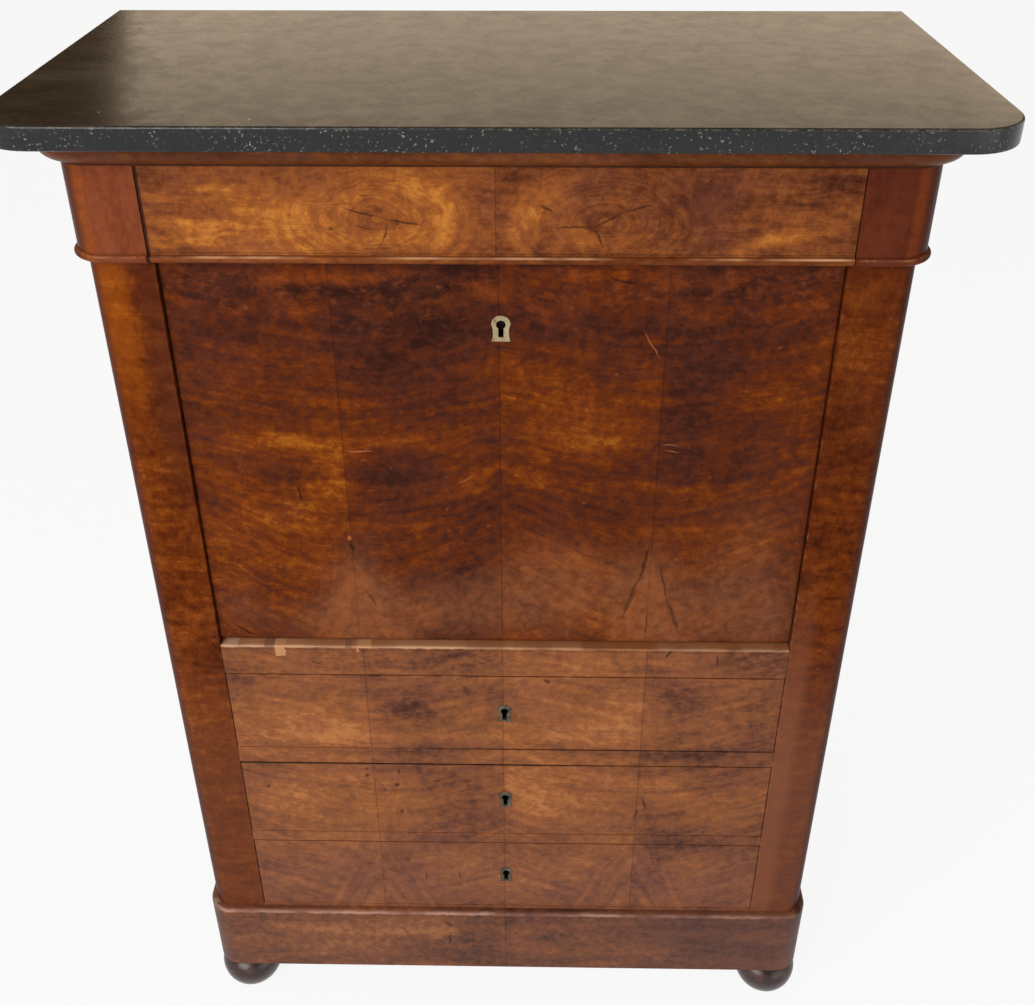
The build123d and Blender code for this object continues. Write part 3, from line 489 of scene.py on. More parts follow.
def drawer_wood():
    """The veneer that runs down over the rails and the three lower drawers in four leaves."""
    lift = [
        (-0.280, 0.590, 0.120, 0.060, 0, 0.6), (-0.220, 0.555, 0.120, 0.026, 0, 0.6),
        (0.150, 0.585, 0.080, 0.060, 0, 0.6), (0.060, 0.560, 0.110, 0.026, 0, 0.5),
        (-0.090, 0.560, 0.100, 0.022, 0, 0.5), (0.035, 0.430, 0.050, 0.090, 0, 0.7),
        (-0.300, 0.430, 0.070, 0.060, 0, 0.6), (-0.150, 0.430, 0.050, 0.070, 0, 0.5),
        (0.215, 0.460, 0.050, 0.060, 0, 0.6), (0.010, 0.280, 0.060, 0.050, 0, 0.4),
        (0.110, 0.270, 0.090, 0.060, 0, 0.4), (-0.280, 0.260, 0.110, 0.050, 0, 0.3),
        (0.280, 0.570, 0.080, 0.030, 0, 0.3), (0.090, 0.688, 0.060, 0.020, 0, 0.3),
        (0.215, 0.690, 0.060, 0.022, 0, 0.5), (-0.260, 0.690, 0.100, 0.022, 0, 0.3),
    ]
    sink = [
        (-0.124, 0.606, 0.050, 0.030, 0, 0.7), (0.237, 0.632, 0.060, 0.036, 0, 0.6),
        (-0.060, 0.640, 0.080, 0.024, 0, 0.5), (0.110, 0.645, 0.070, 0.030, 0, 0.5),
        (-0.345, 0.655, 0.040, 0.016, 0, 0.8), (-0.070, 0.470, 0.080, 0.050, 0, 0.5),
        (-0.050, 0.400, 0.070, 0.040, 0, 0.5), (0.300, 0.480, 0.080, 0.050, 0, 0.5),
        (0.225, 0.340, 0.060, 0.042, 0, 0.9), (0.290, 0.345, 0.080, 0.026, 0, 0.5),
        (-0.080, 0.345, 0.110, 0.026, 0, 0.5), (-0.215, 0.250, 0.040, 0.030, 0, 0.4),
        (-0.110, 0.520, 0.110, 0.018, 0, 0.5), (0.260, 0.520, 0.120, 0.018, 0, 0.5),
        (-0.080, 0.690, 0.090, 0.030, 0, 0.5), (0.310, 0.690, 0.070, 0.030, 0, 0.6),
        (0.210, 0.270, 0.040, 0.060, 0, 0.4), (-0.320, 0.495, 0.060, 0.020, 0, 0.4),
        (0.340, 0.560, 0.040, 0.070, 0, 0.5), (-0.280, 0.270, 0.140, 0.110, 0, 0.6),
        (0.080, 0.270, 0.160, 0.110, 0, 0.5),
    ]
    cracks = [
        (-0.191, 0.480, 0.0034, 0.0050, 0, 1.5), (-0.190, 0.492, 0.0022, 0.0030, 0, 1.2),
        (-0.147, 0.488, 0.0024, 0.0060, 0, 1.2), (-0.150, 0.461, 0.0050, 0.0050, 0, 1.5),
        (-0.146, 0.408, 0.0032, 0.0050, 0, 1.5), (-0.168, 0.452, 0.0020, 0.0050, 20, 1.0),
        (-0.330, 0.456, 0.0030, 0.0040, 0, 1.2), stroke(0.189, 0.444, 0.198, 0.414, 0.0024),
        stroke(0.184, 0.420, 0.180, 0.392, 0.0018), stroke(0.050, 0.660, 0.062, 0.652, 0.0040),
        stroke(-0.118, 0.285, -0.116, 0.262, 0.0018), stroke(-0.070, 0.288, -0.066, 0.262, 0.0018),
        stroke(0.215, 0.716, 0.206, 0.694, 0.0020), stroke(0.272, 0.708, 0.274, 0.684, 0.0016),
        stroke(-0.250, 0.690, -0.235, 0.680, 0.0016), stroke(0.030, 0.346, 0.060, 0.342, 0.0020),
    ]

    # Chips in the ledge: left, right, reach down and tone
    chips = [
        (-0.308, -0.294, 0.004, srgb(128, 88, 68)), (-0.294, -0.281, 0.017, srgb(204, 150, 106)),
        (-0.360, -0.342, 0.003, srgb(196, 158, 132)), (-0.203, -0.195, 0.004, srgb(130, 92, 74)),
        (-0.187, -0.170, 0.003, srgb(204, 150, 106)), (-0.190, -0.186, 0.008, srgb(190, 136, 96)),
    ]

    def wear_and_painted_light(g, colour, mottle):
        ledge_low, ledge_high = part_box("rail_upper")
        front = ledge_low.y
        top = ledge_high.z
        left_side = g.step(g.x, 0.10, -0.10)
        lip = g.step(g.scaled(mottle, 0.004, g.z), top - 0.0016, top + 0.0004)
        rubbed = g.scaled(left_side, 0.55, g.times(g.runs(13, 0.40, 0.60), 0.6))
        colour = g.lay(colour, srgb(222, 178, 138), lip, g.scaled(rubbed, 0.50, 0.10))
        # Painted shade on the back of the ledge's top, under the fall's foot
        corner = g.times(g.step(g.y, front + 0.0023, front + 0.0047), g.step(g.z, top - 0.0012, top - 0.0004))
        colour = g.lay(colour, srgb(156, 93, 51), corner, 0.60)
        colour = g.lay(colour, INK, g.line(g.z, top - 0.0058, 0.0009), 0.45)
        plane = g.wobble(g.join(g.x, g.z), 150, 0.006)
        for x0, x1, drop, bare in chips:
            chipped = g.patch(plane, x0, x1, top - drop, top + 0.01)
            colour = g.lay(colour, bare, chipped, 0.75)
        upper_low, upper_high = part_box("drawer_1_front")
        second_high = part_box("drawer_2_front")[1]
        for edge in (upper_low.z, second_high.z, upper_high.z):
            rub = g.times(g.line(g.z, edge, 0.0024), g.runs(14, 0.52, 0.68))
            colour = g.lay(colour, PALE, rub, 0.50)
        # Painted shade in the gaps above and below the middle rail
        shade_over_rail = g.times(g.line(g.z, upper_low.z, 0.0026), g.step(g.x, -0.14, -0.06))
        shade_under_rail = g.times(g.line(g.z, second_high.z, 0.0028), g.step(g.x, 0.16, 0.02, 0.3, 1.0))
        # Painted reflection of the floor: the lower drawers greyer and paler
        colour = g.lay(colour, srgb(108, 80, 86), g.step(g.z, 0.42, 0.24), 0.14)
        # Painted shade laid in those gaps
        colour = g.lay(colour, INK, g.max(shade_over_rail, shade_under_rail), 0.85)
        # Painted shade inside the drawers' keyholes
        for number in (1, 2, 3):
            colour = keyhole_shade(g, colour, f"drawer_{number}_escutcheon")
        return colour

    tones = [(0.05, srgb(62, 33, 23)), (0.28, srgb(101, 59, 39)), (0.50, srgb(129, 77, 46)),
             (0.74, srgb(152, 92, 51)), (0.97, srgb(182, 117, 68))]
    figure = flame(fold=0.182, apex=0.40, bowl=1.2, deepen=2.0)
    leaves = [(-0.181, 0.03), (-0.002, 0.10), (0.183, -0.01)]
    return wood(
        "drawer_veneer", "x", tones, figure, lift=lift, sink=sink, leaves=leaves, first=0.10, cracks=cracks,
        roughness=0.42, shine=0.12, wear_and_painted_light=wear_and_painted_light, other_faces=INNER_TONES, bold=1.3,
    )


def stile_wood():
    """The stiles' veneer, curled across its grain, paler to the foot with a painted reflection of the floor,
    and with painted shade round the corners.
    """
    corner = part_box("stile_right")[0]

    def curl(g, _plane):
        across = g.add(g.x, g.y)
        rows = g.wobble(g.join(across, g.z), 13, 0.035, 3)
        return g.noise(g.stretch(rows, (13, 62, 1)), 1.0, 4, 0.6, 0.3)

    def wear_and_painted_light(g, colour, mottle):
        out = g.abs(g.x)
        left = g.math("LESS_THAN", g.x, 0.0)
        high = g.step(g.z, 0.86, 1.06)
        inner = g.step(g.scaled(mottle, 0.016, out), corner.x + 0.044, corner.x + 0.026)
        dusk = g.times(inner, g.times(left, high))
        colour = g.lay(colour, PLUM, dusk, 0.60)
        front = g.step(g.split(g.normal)[1], -0.30, -0.70)
        reach = g.step(g.scaled(mottle, 0.020, out), corner.x + 0.032, corner.x + 0.052)
        glow = g.times(g.times(reach, front), g.times(g.step(g.z, 0.98, 1.16), left))
        colour = g.lay(colour, srgb(152, 78, 18), glow, 0.42)
        # Painted reflection of the floor: the stiles paler and greyer towards their foot
        low = g.step(g.z, 0.78, 0.45)
        colour = g.lay(colour, srgb(120, 72, 50), low, 0.42)
        right = g.minus(1.0, left)
        colour = g.lay(colour, PLUM, g.times(right, high), 0.20)
        # More painted reflection of the floor on the right stile's foot
        colour = g.lay(colour, srgb(124, 86, 76), g.times(right, low), 0.22)
        pale = g.times(inner, right)
        colour = g.lay(colour, srgb(146, 92, 66), g.times(pale, g.step(g.z, 0.90, 0.60)), 0.40)
        arris = g.times(g.line(out, corner.x, 0.0016), g.step(g.y, corner.y + 0.0026, corner.y + 0.0012))
        rubbed = g.scaled(g.times(right, g.step(g.z, 1.10, 0.90)), 0.35, 0.10)
        return g.lay(colour, PALE, g.times(arris, rubbed), g.step(mottle, 0.50, 0.62))

    tones = [(0.05, srgb(58, 20, 5)), (0.28, srgb(84, 34, 7)), (0.50, srgb(103, 45, 10)),
             (0.74, srgb(123, 60, 14)), (0.97, srgb(150, 84, 26))]
    return wood(
        "stile_veneer", "z", tones, curl, leaves=[(0.0, -0.02)], first=0.02, shine=0.03, wear_and_painted_light=wear_and_painted_light, bold=1.6,
        blushing=0.05, turned=(0.80, 0.30, 0.80),
    )


def block_wood():
    """The veneer of the frieze's ends, with a painted highlight where they begin to turn, painted shade round
    the corners and over the right-hand one.
    """
    def wear_and_painted_light(g, colour, mottle):
        # Painted highlight where the faces begin to turn
        bend = g.abs(g.split(g.normal)[0])
        turn_highlight = g.times(g.step(bend, 0.08, 0.25), g.step(bend, 0.90, 0.70))
        colour = g.lay(colour, srgb(148, 74, 18), g.times(turn_highlight, g.step(mottle, 0.25, 0.60)), 0.55)
        # Painted shade: the right-hand block darker
        colour = g.mix(g.math("GREATER_THAN", g.x, 0.0), colour, g.mix(0.35, colour, srgb(84, 30, 12)))
        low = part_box("frieze_end_left")[0]
        rub = g.times(g.line(g.z, low.z + 0.0080, 0.0016), g.step(g.y, low.y + 0.053, low.y + 0.013))
        return g.lay(colour, PALE, rub, g.step(mottle, 0.42, 0.6, 0.0, 0.45))

    tones = [(0.05, srgb(66, 28, 18)), (0.50, srgb(112, 54, 31)), (0.95, srgb(144, 78, 46))]
    return wood(
        "frieze_block_veneer", "z", tones, leaves=[(0.0, -0.14)], first=0.18, shine=0.05, wear_and_painted_light=wear_and_painted_light, bold=0.9,
        blushing=0.12, turned=(0.85, 0.35, 0.70),
    )


def bead_wear_and_painted_light(g, colour, _mottle):
    """Bead along the frieze drawer's foot, with a painted highlight along its top and painted shade in the
    groove above it, and the dark joint at its left end.
    """
    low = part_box("frieze_drawer_front")[0]
    proud = g.step(g.y, low.y + 0.0040, low.y + 0.0025)
    colour = g.lay(colour, RUSSET, proud, 0.45)
    # Painted highlight along the top of the bead
    rub = g.times(g.line(g.z, low.z + 0.0075, 0.0017), proud)
    colour = g.lay(colour, srgb(214, 164, 122), rub, g.runs(7, 0.40, 0.62))
    # Painted shade in the groove above the bead
    groove = g.line(g.z, low.z + 0.0112, 0.0010)
    colour = g.lay(colour, INK, groove, 0.55)
    open_joint = g.step(g.x, low.x + 0.0036, low.x + 0.0022)
    return g.lay(colour, INK, open_joint, 0.85)


def cornice_tone_and_shadow_line(g, colour, _mottle):
    """A darker right half, and a painted shadow line along the foot, where it meets the frieze."""
    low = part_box("cornice")[0].z
    colour = g.lay(colour, OXBLOOD, g.step(g.x, 0.0, 0.40), 0.35)
    # Painted shadow line along the foot
    return g.lay(colour, INK, g.step(g.z, low + 0.0045, low + 0.0015), 0.60)


def plinth_wood():
    """The plinth's veneer, rubbed along its top edge, where a painted highlight lies too, with painted shade
    on its rounded corners, and chipped at the corners.
    """
    lift = [
        (-0.330, 0.150, 0.130, 0.050, 0, 0.5), (-0.200, 0.120, 0.110, 0.040, 0, 0.5),
        (0.020, 0.140, 0.030, 0.050, 0, 0.5), (0.110, 0.160, 0.060, 0.030, 0, 0.4),
        (-0.110, 0.165, 0.090, 0.030, 0, 0.4),
    ]
    sink = [
        (-0.030, 0.155, 0.050, 0.050, 0, 0.7), (0.058, 0.145, 0.034, 0.026, 0, 0.7),
        (-0.060, 0.146, 0.030, 0.022, 0, 0.6), (0.250, 0.150, 0.160, 0.050, 0, 0.3),
        (-0.090, 0.110, 0.110, 0.022, 0, 0.5), (0.340, 0.110, 0.090, 0.030, 0, 0.4),
    ]
    cracks = [stroke(-0.085, 0.150, -0.088, 0.124, 0.0030), stroke(-0.092, 0.176, -0.080, 0.168, 0.0040),
              stroke(0.290, 0.122, 0.320, 0.116, 0.0030), (0.058, 0.145, 0.006, 0.004, 0, 1.0)]

    def wear_and_painted_light(g, colour, mottle):
        low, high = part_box("plinth_front")
        top = high.z
        # Pale line along the top edge: wear, and a painted highlight on its rounding
        rub = g.line(g.scaled(mottle, 0.006, g.z), top - 0.0008, 0.0036)
        rubbed = g.scaled(g.runs(11, 0.38, 0.62), 0.62, 0.14)
        colour = g.lay(colour, srgb(196, 152, 136), rub, rubbed)
        dusk = g.step(g.x, 0.04, 0.36)
        colour = g.lay(colour, srgb(104, 68, 62), dusk, 0.30)
        ends = g.step(g.abs(g.x), high.x - 0.01375, high.x + 0.00125)
        ends = g.times(ends, g.step(g.y, low.y + 0.0265, low.y + 0.0145))
        corner = g.times(ends, g.step(g.z, top - 0.018, top - 0.008))
        left = g.math("LESS_THAN", g.x, 0.0)
        chip = g.times(corner, g.step(mottle, 0.42, 0.52))
        colour = g.lay(colour, srgb(150, 132, 116), g.times(chip, left), 0.8)
        return g.lay(colour, INK, g.times(chip, g.minus(1.0, left)), 0.9)

    tones = [(0.05, srgb(54, 31, 24)), (0.28, srgb(84, 50, 37)), (0.50, srgb(109, 65, 44)),
             (0.74, srgb(132, 81, 50)), (0.97, srgb(160, 104, 66))]
    return wood(
        "plinth_veneer", "x", tones, lift=lift, sink=sink, leaves=[(-0.002, -0.08)], first=0.07,
        # turned paints shade on the plinth's rounded corners
        cracks=cracks, roughness=0.42, shine=0.16, wear_and_painted_light=wear_and_painted_light, bold=1.5, turned=(0.5, 0.30, 0.80),
    )


def oak(name, along, boards=None):
    """Bare oak with long open grain, darkened by age.

    boards: (first edge, width, how many, lap, its plane) where several meet, half-lapped.
    """
    g = Surface(name)
    rings = g.noise(g.stretch(g.place, scales(along, 1.5, 26)), 1.0, 5, 0.6, 0.5)
    pores = g.noise(g.stretch(g.place, scales(along, 14, 500)), 1.0, 3, 0.6)
    stain = g.noise(g.place, 7, 4, 0.65)
    value = g.scaled(rings, 0.55, g.scaled(stain, 0.40, -0.02))
    colour = g.ramp(value, [(0.28, srgb(96, 66, 40)), (0.50, srgb(146, 108, 68)), (0.72, srgb(178, 140, 94))])
    colour = g.mix(g.step(pores, 0.56, 0.72, 0.0, 0.55), colour, srgb(70, 46, 28))
    height = g.minus(rings, pores)
    if boards:
        first, width, how_many, lap, lap_plane = boards
        edge = g.scaled(g.math("GREATER_THAN", g.y, lap_plane), lap, first)
        count = g.max(g.math("DIVIDE", g.minus(g.x, edge), width), 0.0)
        own = g.noise(g.join(g.times(g.math("FLOOR", count), 3.7), 0.5), 1.0, 0)
        colour = g.mix(g.step(own, 0.35, 0.65, 0.0, 0.45), colour, srgb(88, 60, 36))
        seam = g.step(g.math("PINGPONG", count, 0.5), 0.008, 0.003)
        middle = how_many / 2
        inside = g.step(g.abs(g.add(count, -middle)), middle - 0.3, middle - 0.6)
        seam = g.times(seam, inside)
        colour = g.lay(colour, srgb(34, 22, 14), seam, 0.8)
        height = g.minus(height, seam)
    rough = g.scaled(rings, 0.2, 0.58)
    return g.finish(colour, rough, height, 0.3, 0.0015)


def stone():
    """Dark honed stone with pale flecks, dusty on top and chipped along its edge."""
    g = Surface("fleck_stone")
    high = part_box("stone_top")[1]
    cloud = g.noise(g.stretch(g.place, (2.5, 9, 9)), 1.4, 5, 0.65, 0.6)
    grain = g.noise(g.place, 160, 4, 0.7)
    blotch = g.noise(g.wobble(g.place, 40, 0.02), 38, 4, 0.7)
    value = g.scaled(cloud, 0.5, g.scaled(grain, 0.3, g.times(blotch, 0.3)))
    colour = g.ramp(value, [(0.34, srgb(25, 20, 14)), (0.55, srgb(38, 31, 22)), (0.78, srgb(59, 50, 38))])
    dust = g.noise(g.wobble(g.place, 30, 0.02, 4), 34, 6, 0.75)
    colour = g.mix(g.step(dust, 0.44, 0.72, 0.0, 0.32), colour, srgb(98, 88, 70))
    smear = g.noise(g.stretch(g.wobble(g.place, 9, 0.05, 4), (3, 14, 14)), 1.0, 5, 0.65)
    colour = g.mix(g.step(smear, 0.46, 0.70, 0.0, 0.36), colour, srgb(92, 84, 70))
    side = g.step(g.split(g.normal)[2], 0.8, 0.4)
    colour = g.lay(colour, srgb(26, 29, 34), side, 0.80)
    cluster = g.step(blotch, 0.40, 0.62, 0.10, 0.85)
    # Flecks from large to small: scale, inner and outer reach, rarity and share on the top
    flecks = [
        (26, 0.03, 0.08, 0.72, 1.00), (70, 0.03, 0.12, 0.86, 0.16),
        (150, 0.05, 0.21, 0.72, 0.12), (300, 0.10, 0.34, 0.52, 0.10),
    ]
    for scale, inner, outer, rarity, on_top in flecks:
        near, cell = g.cells(g.wobble(g.place, 120, 0.012), scale)
        rare = g.math("GREATER_THAN", g.split(cell)[0], rarity)
        fleck = g.times(g.step(near, outer, inner), g.times(rare, cluster))
        colour = g.lay(colour, srgb(172, 172, 164), fleck, g.step(side, 0.0, 1.0, on_top, 0.85))
    pits = g.step(g.noise(g.place, 240, 2), 0.64, 0.74)
    colour = g.lay(colour, srgb(20, 19, 18), pits, 0.3)
    rim = g.step(g.z, high.z - 0.0030, high.z - 0.0010)
    chips = g.times(rim, g.times(side, g.step(grain, 0.46, 0.60)))
    colour = g.lay(colour, srgb(128, 126, 116), chips, 0.5)
    polish = g.scaled(smear, 0.16, g.step(dust, 0.36, 0.64, 0.18, 0.09))
    rough = g.scaled(pits, 0.10, polish)
    g.shader.inputs["Specular IOR Level"].default_value = 0.32
    return g.finish(colour, rough, g.minus(grain, g.times(pits, 0.6)), 0.10, 0.0006)


def ebony():
    """Turned wood stained black, brown where it is worn."""
    g = Surface("ebonised")
    turned = g.noise(g.stretch(g.place, (60, 60, 420)), 1.0, 3, 0.6)
    wear = g.noise(g.place, 45, 4, 0.65)
    colour = g.ramp(wear, [(0.35, srgb(36, 20, 18)), (0.58, srgb(60, 33, 27)), (0.78, srgb(104, 62, 46))])
    rough = g.scaled(wear, 0.35, 0.10)
    return g.finish(colour, rough, turned, 0.15, 0.001)


def metal(name, stops, low_rough, high_rough, scale, grain):
    """Aged metal with a skin of dirt.

    stops: the ramp of its tones; low_rough and high_rough: its roughness where bright and where dull;
    scale: of its patches; grain: the share of fine grain in its relief.
    """
    g = Surface(name)
    patina = g.noise(g.place, scale, 5, 0.7, 0.4)
    fine = g.noise(g.place, scale * 9, 3, 0.6)
    colour = g.ramp(patina, stops)
    dirt = g.step(g.add(patina, g.times(fine, 0.3)), 0.62, 0.48)
    colour = g.lay(colour, srgb(40, 32, 24), dirt, 0.5)
    g.put(g.shader.inputs["Metallic"], g.scaled(dirt, -0.55, 0.95))
    rough = g.step(patina, 0.3, 0.7, high_rough, low_rough)
    return g.finish(colour, rough, g.scaled(fine, grain, patina), 0.2, 0.0005)


def leather():
    """Green leather, rubbed brown, with two gilt lines round its edge."""
    g = Surface("desk_leather")
    low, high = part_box("writing_leather")
    creases, _ = g.cells(g.wobble(g.place, 120, 0.006), 420, "DISTANCE_TO_EDGE")
    cloud = g.noise(g.place, 9, 4, 0.65)
    rubbed = g.noise(g.place, 60, 4, 0.7)
    colour = g.ramp(cloud, [(0.3, srgb(34, 46, 34)), (0.55, srgb(52, 66, 46)), (0.8, srgb(86, 84, 56))])
    colour = g.mix(g.step(rubbed, 0.58, 0.75, 0.0, 0.5), colour, srgb(112, 88, 60))
    beside = g.minus(high.x, g.abs(g.x))
    above_or_below = g.min(g.add(g.z, -low.z), g.minus(high.z, g.z))
    inset = g.min(beside, above_or_below)
    gilt = g.max(g.line(inset, 0.014, 0.0011), g.line(inset, 0.0185, 0.0006))
    gilt = g.times(gilt, g.step(rubbed, 0.62, 0.46))
    colour = g.lay(colour, srgb(186, 148, 74), gilt, 0.9)
    g.put(g.shader.inputs["Metallic"], g.times(gilt, 0.6))
    height = g.minus(g.step(creases, 0.0, 0.12), gilt)
    return g.finish(colour, g.scaled(rubbed, 0.3, 0.35), height, 0.3, 0.0006)


WELD_DISTANCE = 1e-5
SHARP_ANGLE = math.radians(32)


def dress():
    """Modifier that joins each CAD face to its neighbours and shades curves smooth."""
    group = bpy.data.node_groups.new("dress", "GeometryNodeTree")
    group.interface.new_socket("Geometry", in_out="INPUT", socket_type="NodeSocketGeometry")
    group.interface.new_socket("Geometry", in_out="OUTPUT", socket_type="NodeSocketGeometry")
    add = group.nodes.new
    link = group.links.new
    start = add("NodeGroupInput")
    end = add("NodeGroupOutput")
    bare = add("GeometryNodeRemoveAttribute")
    bare.inputs["Name"].default_value = "custom_normal"
    weld = add("GeometryNodeMergeByDistance")
    weld.inputs["Distance"].default_value = WELD_DISTANCE
    faces = add("GeometryNodeSetShadeSmooth")
    faces.domain = "FACE"
    edges = add("GeometryNodeSetShadeSmooth")
    edges.domain = "EDGE"
    edges.inputs["Shade Smooth"].default_value = False
    angle = add("GeometryNodeInputMeshEdgeAngle")
    sharp = add("FunctionNodeCompare")
    sharp.data_type = "FLOAT"
    sharp.operation = "GREATER_THAN"
    sharp.inputs[1].default_value = SHARP_ANGLE
    link(start.outputs[0], bare.inputs["Geometry"])
    link(bare.outputs[0], weld.inputs["Geometry"])
    link(weld.outputs[0], faces.inputs["Geometry"])
    link(faces.outputs[0], edges.inputs["Geometry"])
    link(angle.outputs["Unsigned Angle"], sharp.inputs[0])
    link(sharp.outputs[0], edges.inputs["Selection"])
    link(edges.outputs[0], end.inputs[0])
    return group


walnut = wood("walnut_side", "z", FALL_TONES, upright, bold=1.25, blushing=0.10)
inner_walnut = wood(
    "walnut_inner", "x", [(0.1, srgb(70, 36, 22)), (0.5, srgb(116, 62, 30)), (0.9, srgb(156, 94, 46))],
    roughness=0.44,
)
cornice_wood = wood(
    "cornice_veneer", "x", [(0.1, srgb(60, 28, 14)), (0.5, srgb(106, 55, 21)), (0.9, srgb(148, 86, 32))],
    wear_and_painted_light=cornice_tone_and_shadow_line, bold=1.3,
)
drawers_veneer = drawer_wood()
plinth_veneer = plinth_wood()
stile_veneer = stile_wood()
block_veneer = block_wood()
oak_x = oak("oak_across", "x")
oak_y = oak("oak_deep", "y")
oak_z = oak("oak_upright", "z")
BACK_BOARDS = 4
BACK_LAP = 0.008
back_low, back_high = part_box("back_boards")
board_width = (back_high.x - back_low.x) / BACK_BOARDS
lap_plane = (back_low.y + back_high.y) / 2
oak_back = oak("oak_back", "z", (back_low.x, board_width, BACK_BOARDS, BACK_LAP, lap_plane))
iron = metal(
    "lock_iron", [(0.3, srgb(38, 34, 32)), (0.55, srgb(74, 68, 62)), (0.8, srgb(112, 82, 58))],
    low_rough=0.42, high_rough=0.7, scale=90, grain=0.5,
)
brass = metal(
    "old_brass", [(0.3, srgb(120, 104, 70)), (0.55, srgb(176, 160, 122)), (0.8, srgb(208, 194, 158))],
    low_rough=0.30, high_rough=0.55, scale=70, grain=0.4,
)
dull_brass = metal(
    "dull_brass", [(0.3, srgb(62, 56, 46)), (0.55, srgb(104, 96, 80)), (0.8, srgb(140, 130, 108))],
    low_rough=0.38, high_rough=0.6, scale=90, grain=0.4,
)
stay_brass = metal(
    "stay_brass", [(0.3, srgb(126, 96, 48)), (0.55, srgb(178, 142, 76)), (0.8, srgb(206, 174, 106))],
    low_rough=0.26, high_rough=0.5, scale=40, grain=0.4,
)

finish_of = {
    "stone_top": stone(), "cornice": cornice_wood, "top_board": oak_x,
    "frieze_floor": oak_x, "bottom_board": oak_x, "back_boards": oak_back, "plinth_blocks": oak_z,
    "drawer_runners": oak_y, "desk_bearers": oak_y, "desk_floor": inner_walnut,
    "fitment_sides": inner_walnut, "fitment_shelves": inner_walnut, "fitment_dividers": inner_walnut,
    "pivot_sockets": stay_brass, "quadrant_keepers": stay_brass, "fall_pivots": stay_brass,
    "fall_quadrants": stay_brass, "fall_panel": fall_wood(), "writing_leather": leather(),
    "fall_escutcheon": brass, "fall_lock_case": iron, "fall_lock_bolt": iron,
    "frieze_drawer_front": frieze_wood(), "frieze_drawer_sides": oak_y, "frieze_drawer_bottom": oak_x,
}
ebonised = ebony()
for side in ("left", "right"):
    finish_of["frieze_end_" + side] = block_veneer
    finish_of["stile_" + side] = stile_veneer
    finish_of["rear_post_" + side] = walnut
    finish_of["side_panel_" + side] = walnut
    finish_of["plinth_" + side] = plinth_veneer
for name in ("rail_upper", "rail_middle", "rail_lower", "rail_bottom"):
    finish_of[name] = drawers_veneer
finish_of["plinth_front"] = plinth_veneer
finish_of["feet_front"] = finish_of["feet_rear"] = ebonised
for number in (1, 2, 3):
    drawer = f"drawer_{number}_"
    finish_of[drawer + "front"] = drawers_veneer
    finish_of[drawer + "sides"] = oak_y
    finish_of[drawer + "bottom"] = oak_x
    finish_of[drawer + "escutcheon"] = dull_brass
    finish_of[drawer + "lock_case"] = finish_of[drawer + "lock_bolt"] = iron

# Softened edges, in metres
softened = {
    "cornice": 0.0008, "frieze_end_left": 0.0008, "frieze_end_right": 0.0008,
    "stile_left": 0.0010, "stile_right": 0.0010, "fall_panel": 0.0009, "plinth_front": 0.0008,
    "plinth_left": 0.0008, "plinth_right": 0.0008, "rail_upper": 0.0014, "rail_middle": 0.0009,
    "rail_lower": 0.0009, "rail_bottom": 0.0008, "frieze_drawer_front": 0.0008,
    "fitment_shelves": 0.0008, "fitment_dividers": 0.0008, "fitment_sides": 0.0008, "desk_floor": 0.0008,
    "fall_escutcheon": 0.0004, "fall_quadrants": 0.0005,
    "drawer_1_front": 0.0009, "drawer_2_front": 0.0009, "drawer_3_front": 0.0009,
    "drawer_1_escutcheon": 0.0004, "drawer_2_escutcheon": 0.0004, "drawer_3_escutcheon": 0.0004,
}
SOFTEN_ANGLE = math.radians(40)
smoothing = dress()
for name, piece in nodes.items():
    piece.data.materials.clear()
    piece.data.materials.append(finish_of[name])
    piece.modifiers.new("dress", "NODES").node_group = smoothing
    if name in softened:
        bevel = piece.modifiers.new("soft_edges", "BEVEL")
        bevel.width = softened[name]
        bevel.segments = 2
        bevel.limit_method = "ANGLE"
        bevel.angle_limit = SOFTEN_ANGLE
        bevel.use_clamp_overlap = True

# Floor
FLOOR_REACH = 16.0
FLOOR_GREY = (0.82, 0.82, 0.82, 1)
FLOOR_WHITE = 0.90  # share of plain white in what is seen of it, the rest keeps the shadow


def sheet(name, corners, material):
    """A four-cornered stage surface."""
    mesh = bpy.data.meshes.new(name)
    mesh.from_pydata(corners, [], [(0, 1, 2, 3)])
    mesh.materials.append(material)
    surface = bpy.data.objects.new(name, mesh)
    scene.collection.objects.link(surface)
    return surface


ground = Surface("pale_floor")
ground.shader.inputs["Base Color"].default_value = FLOOR_GREY
ground.shader.inputs["Roughness"].default_value = 0.9
ground.shader.inputs["Specular IOR Level"].default_value = 0.1
white = ground.new("ShaderNodeEmission")
blend = ground.new("ShaderNodeMixShader")
seen_white = ground.times(ground.seen(), FLOOR_WHITE)
ground.fill(blend, {0: seen_white, 1: ground.shader.outputs[0], 2: white.outputs[0]})
ground.put(ground.output, blend.outputs[0])
sheet("floor", [(-FLOOR_REACH, -FLOOR_REACH, 0), (FLOOR_REACH, -FLOOR_REACH, 0),
                (FLOOR_REACH, FLOOR_REACH, 0), (-FLOOR_REACH, FLOOR_REACH, 0)], ground.material)

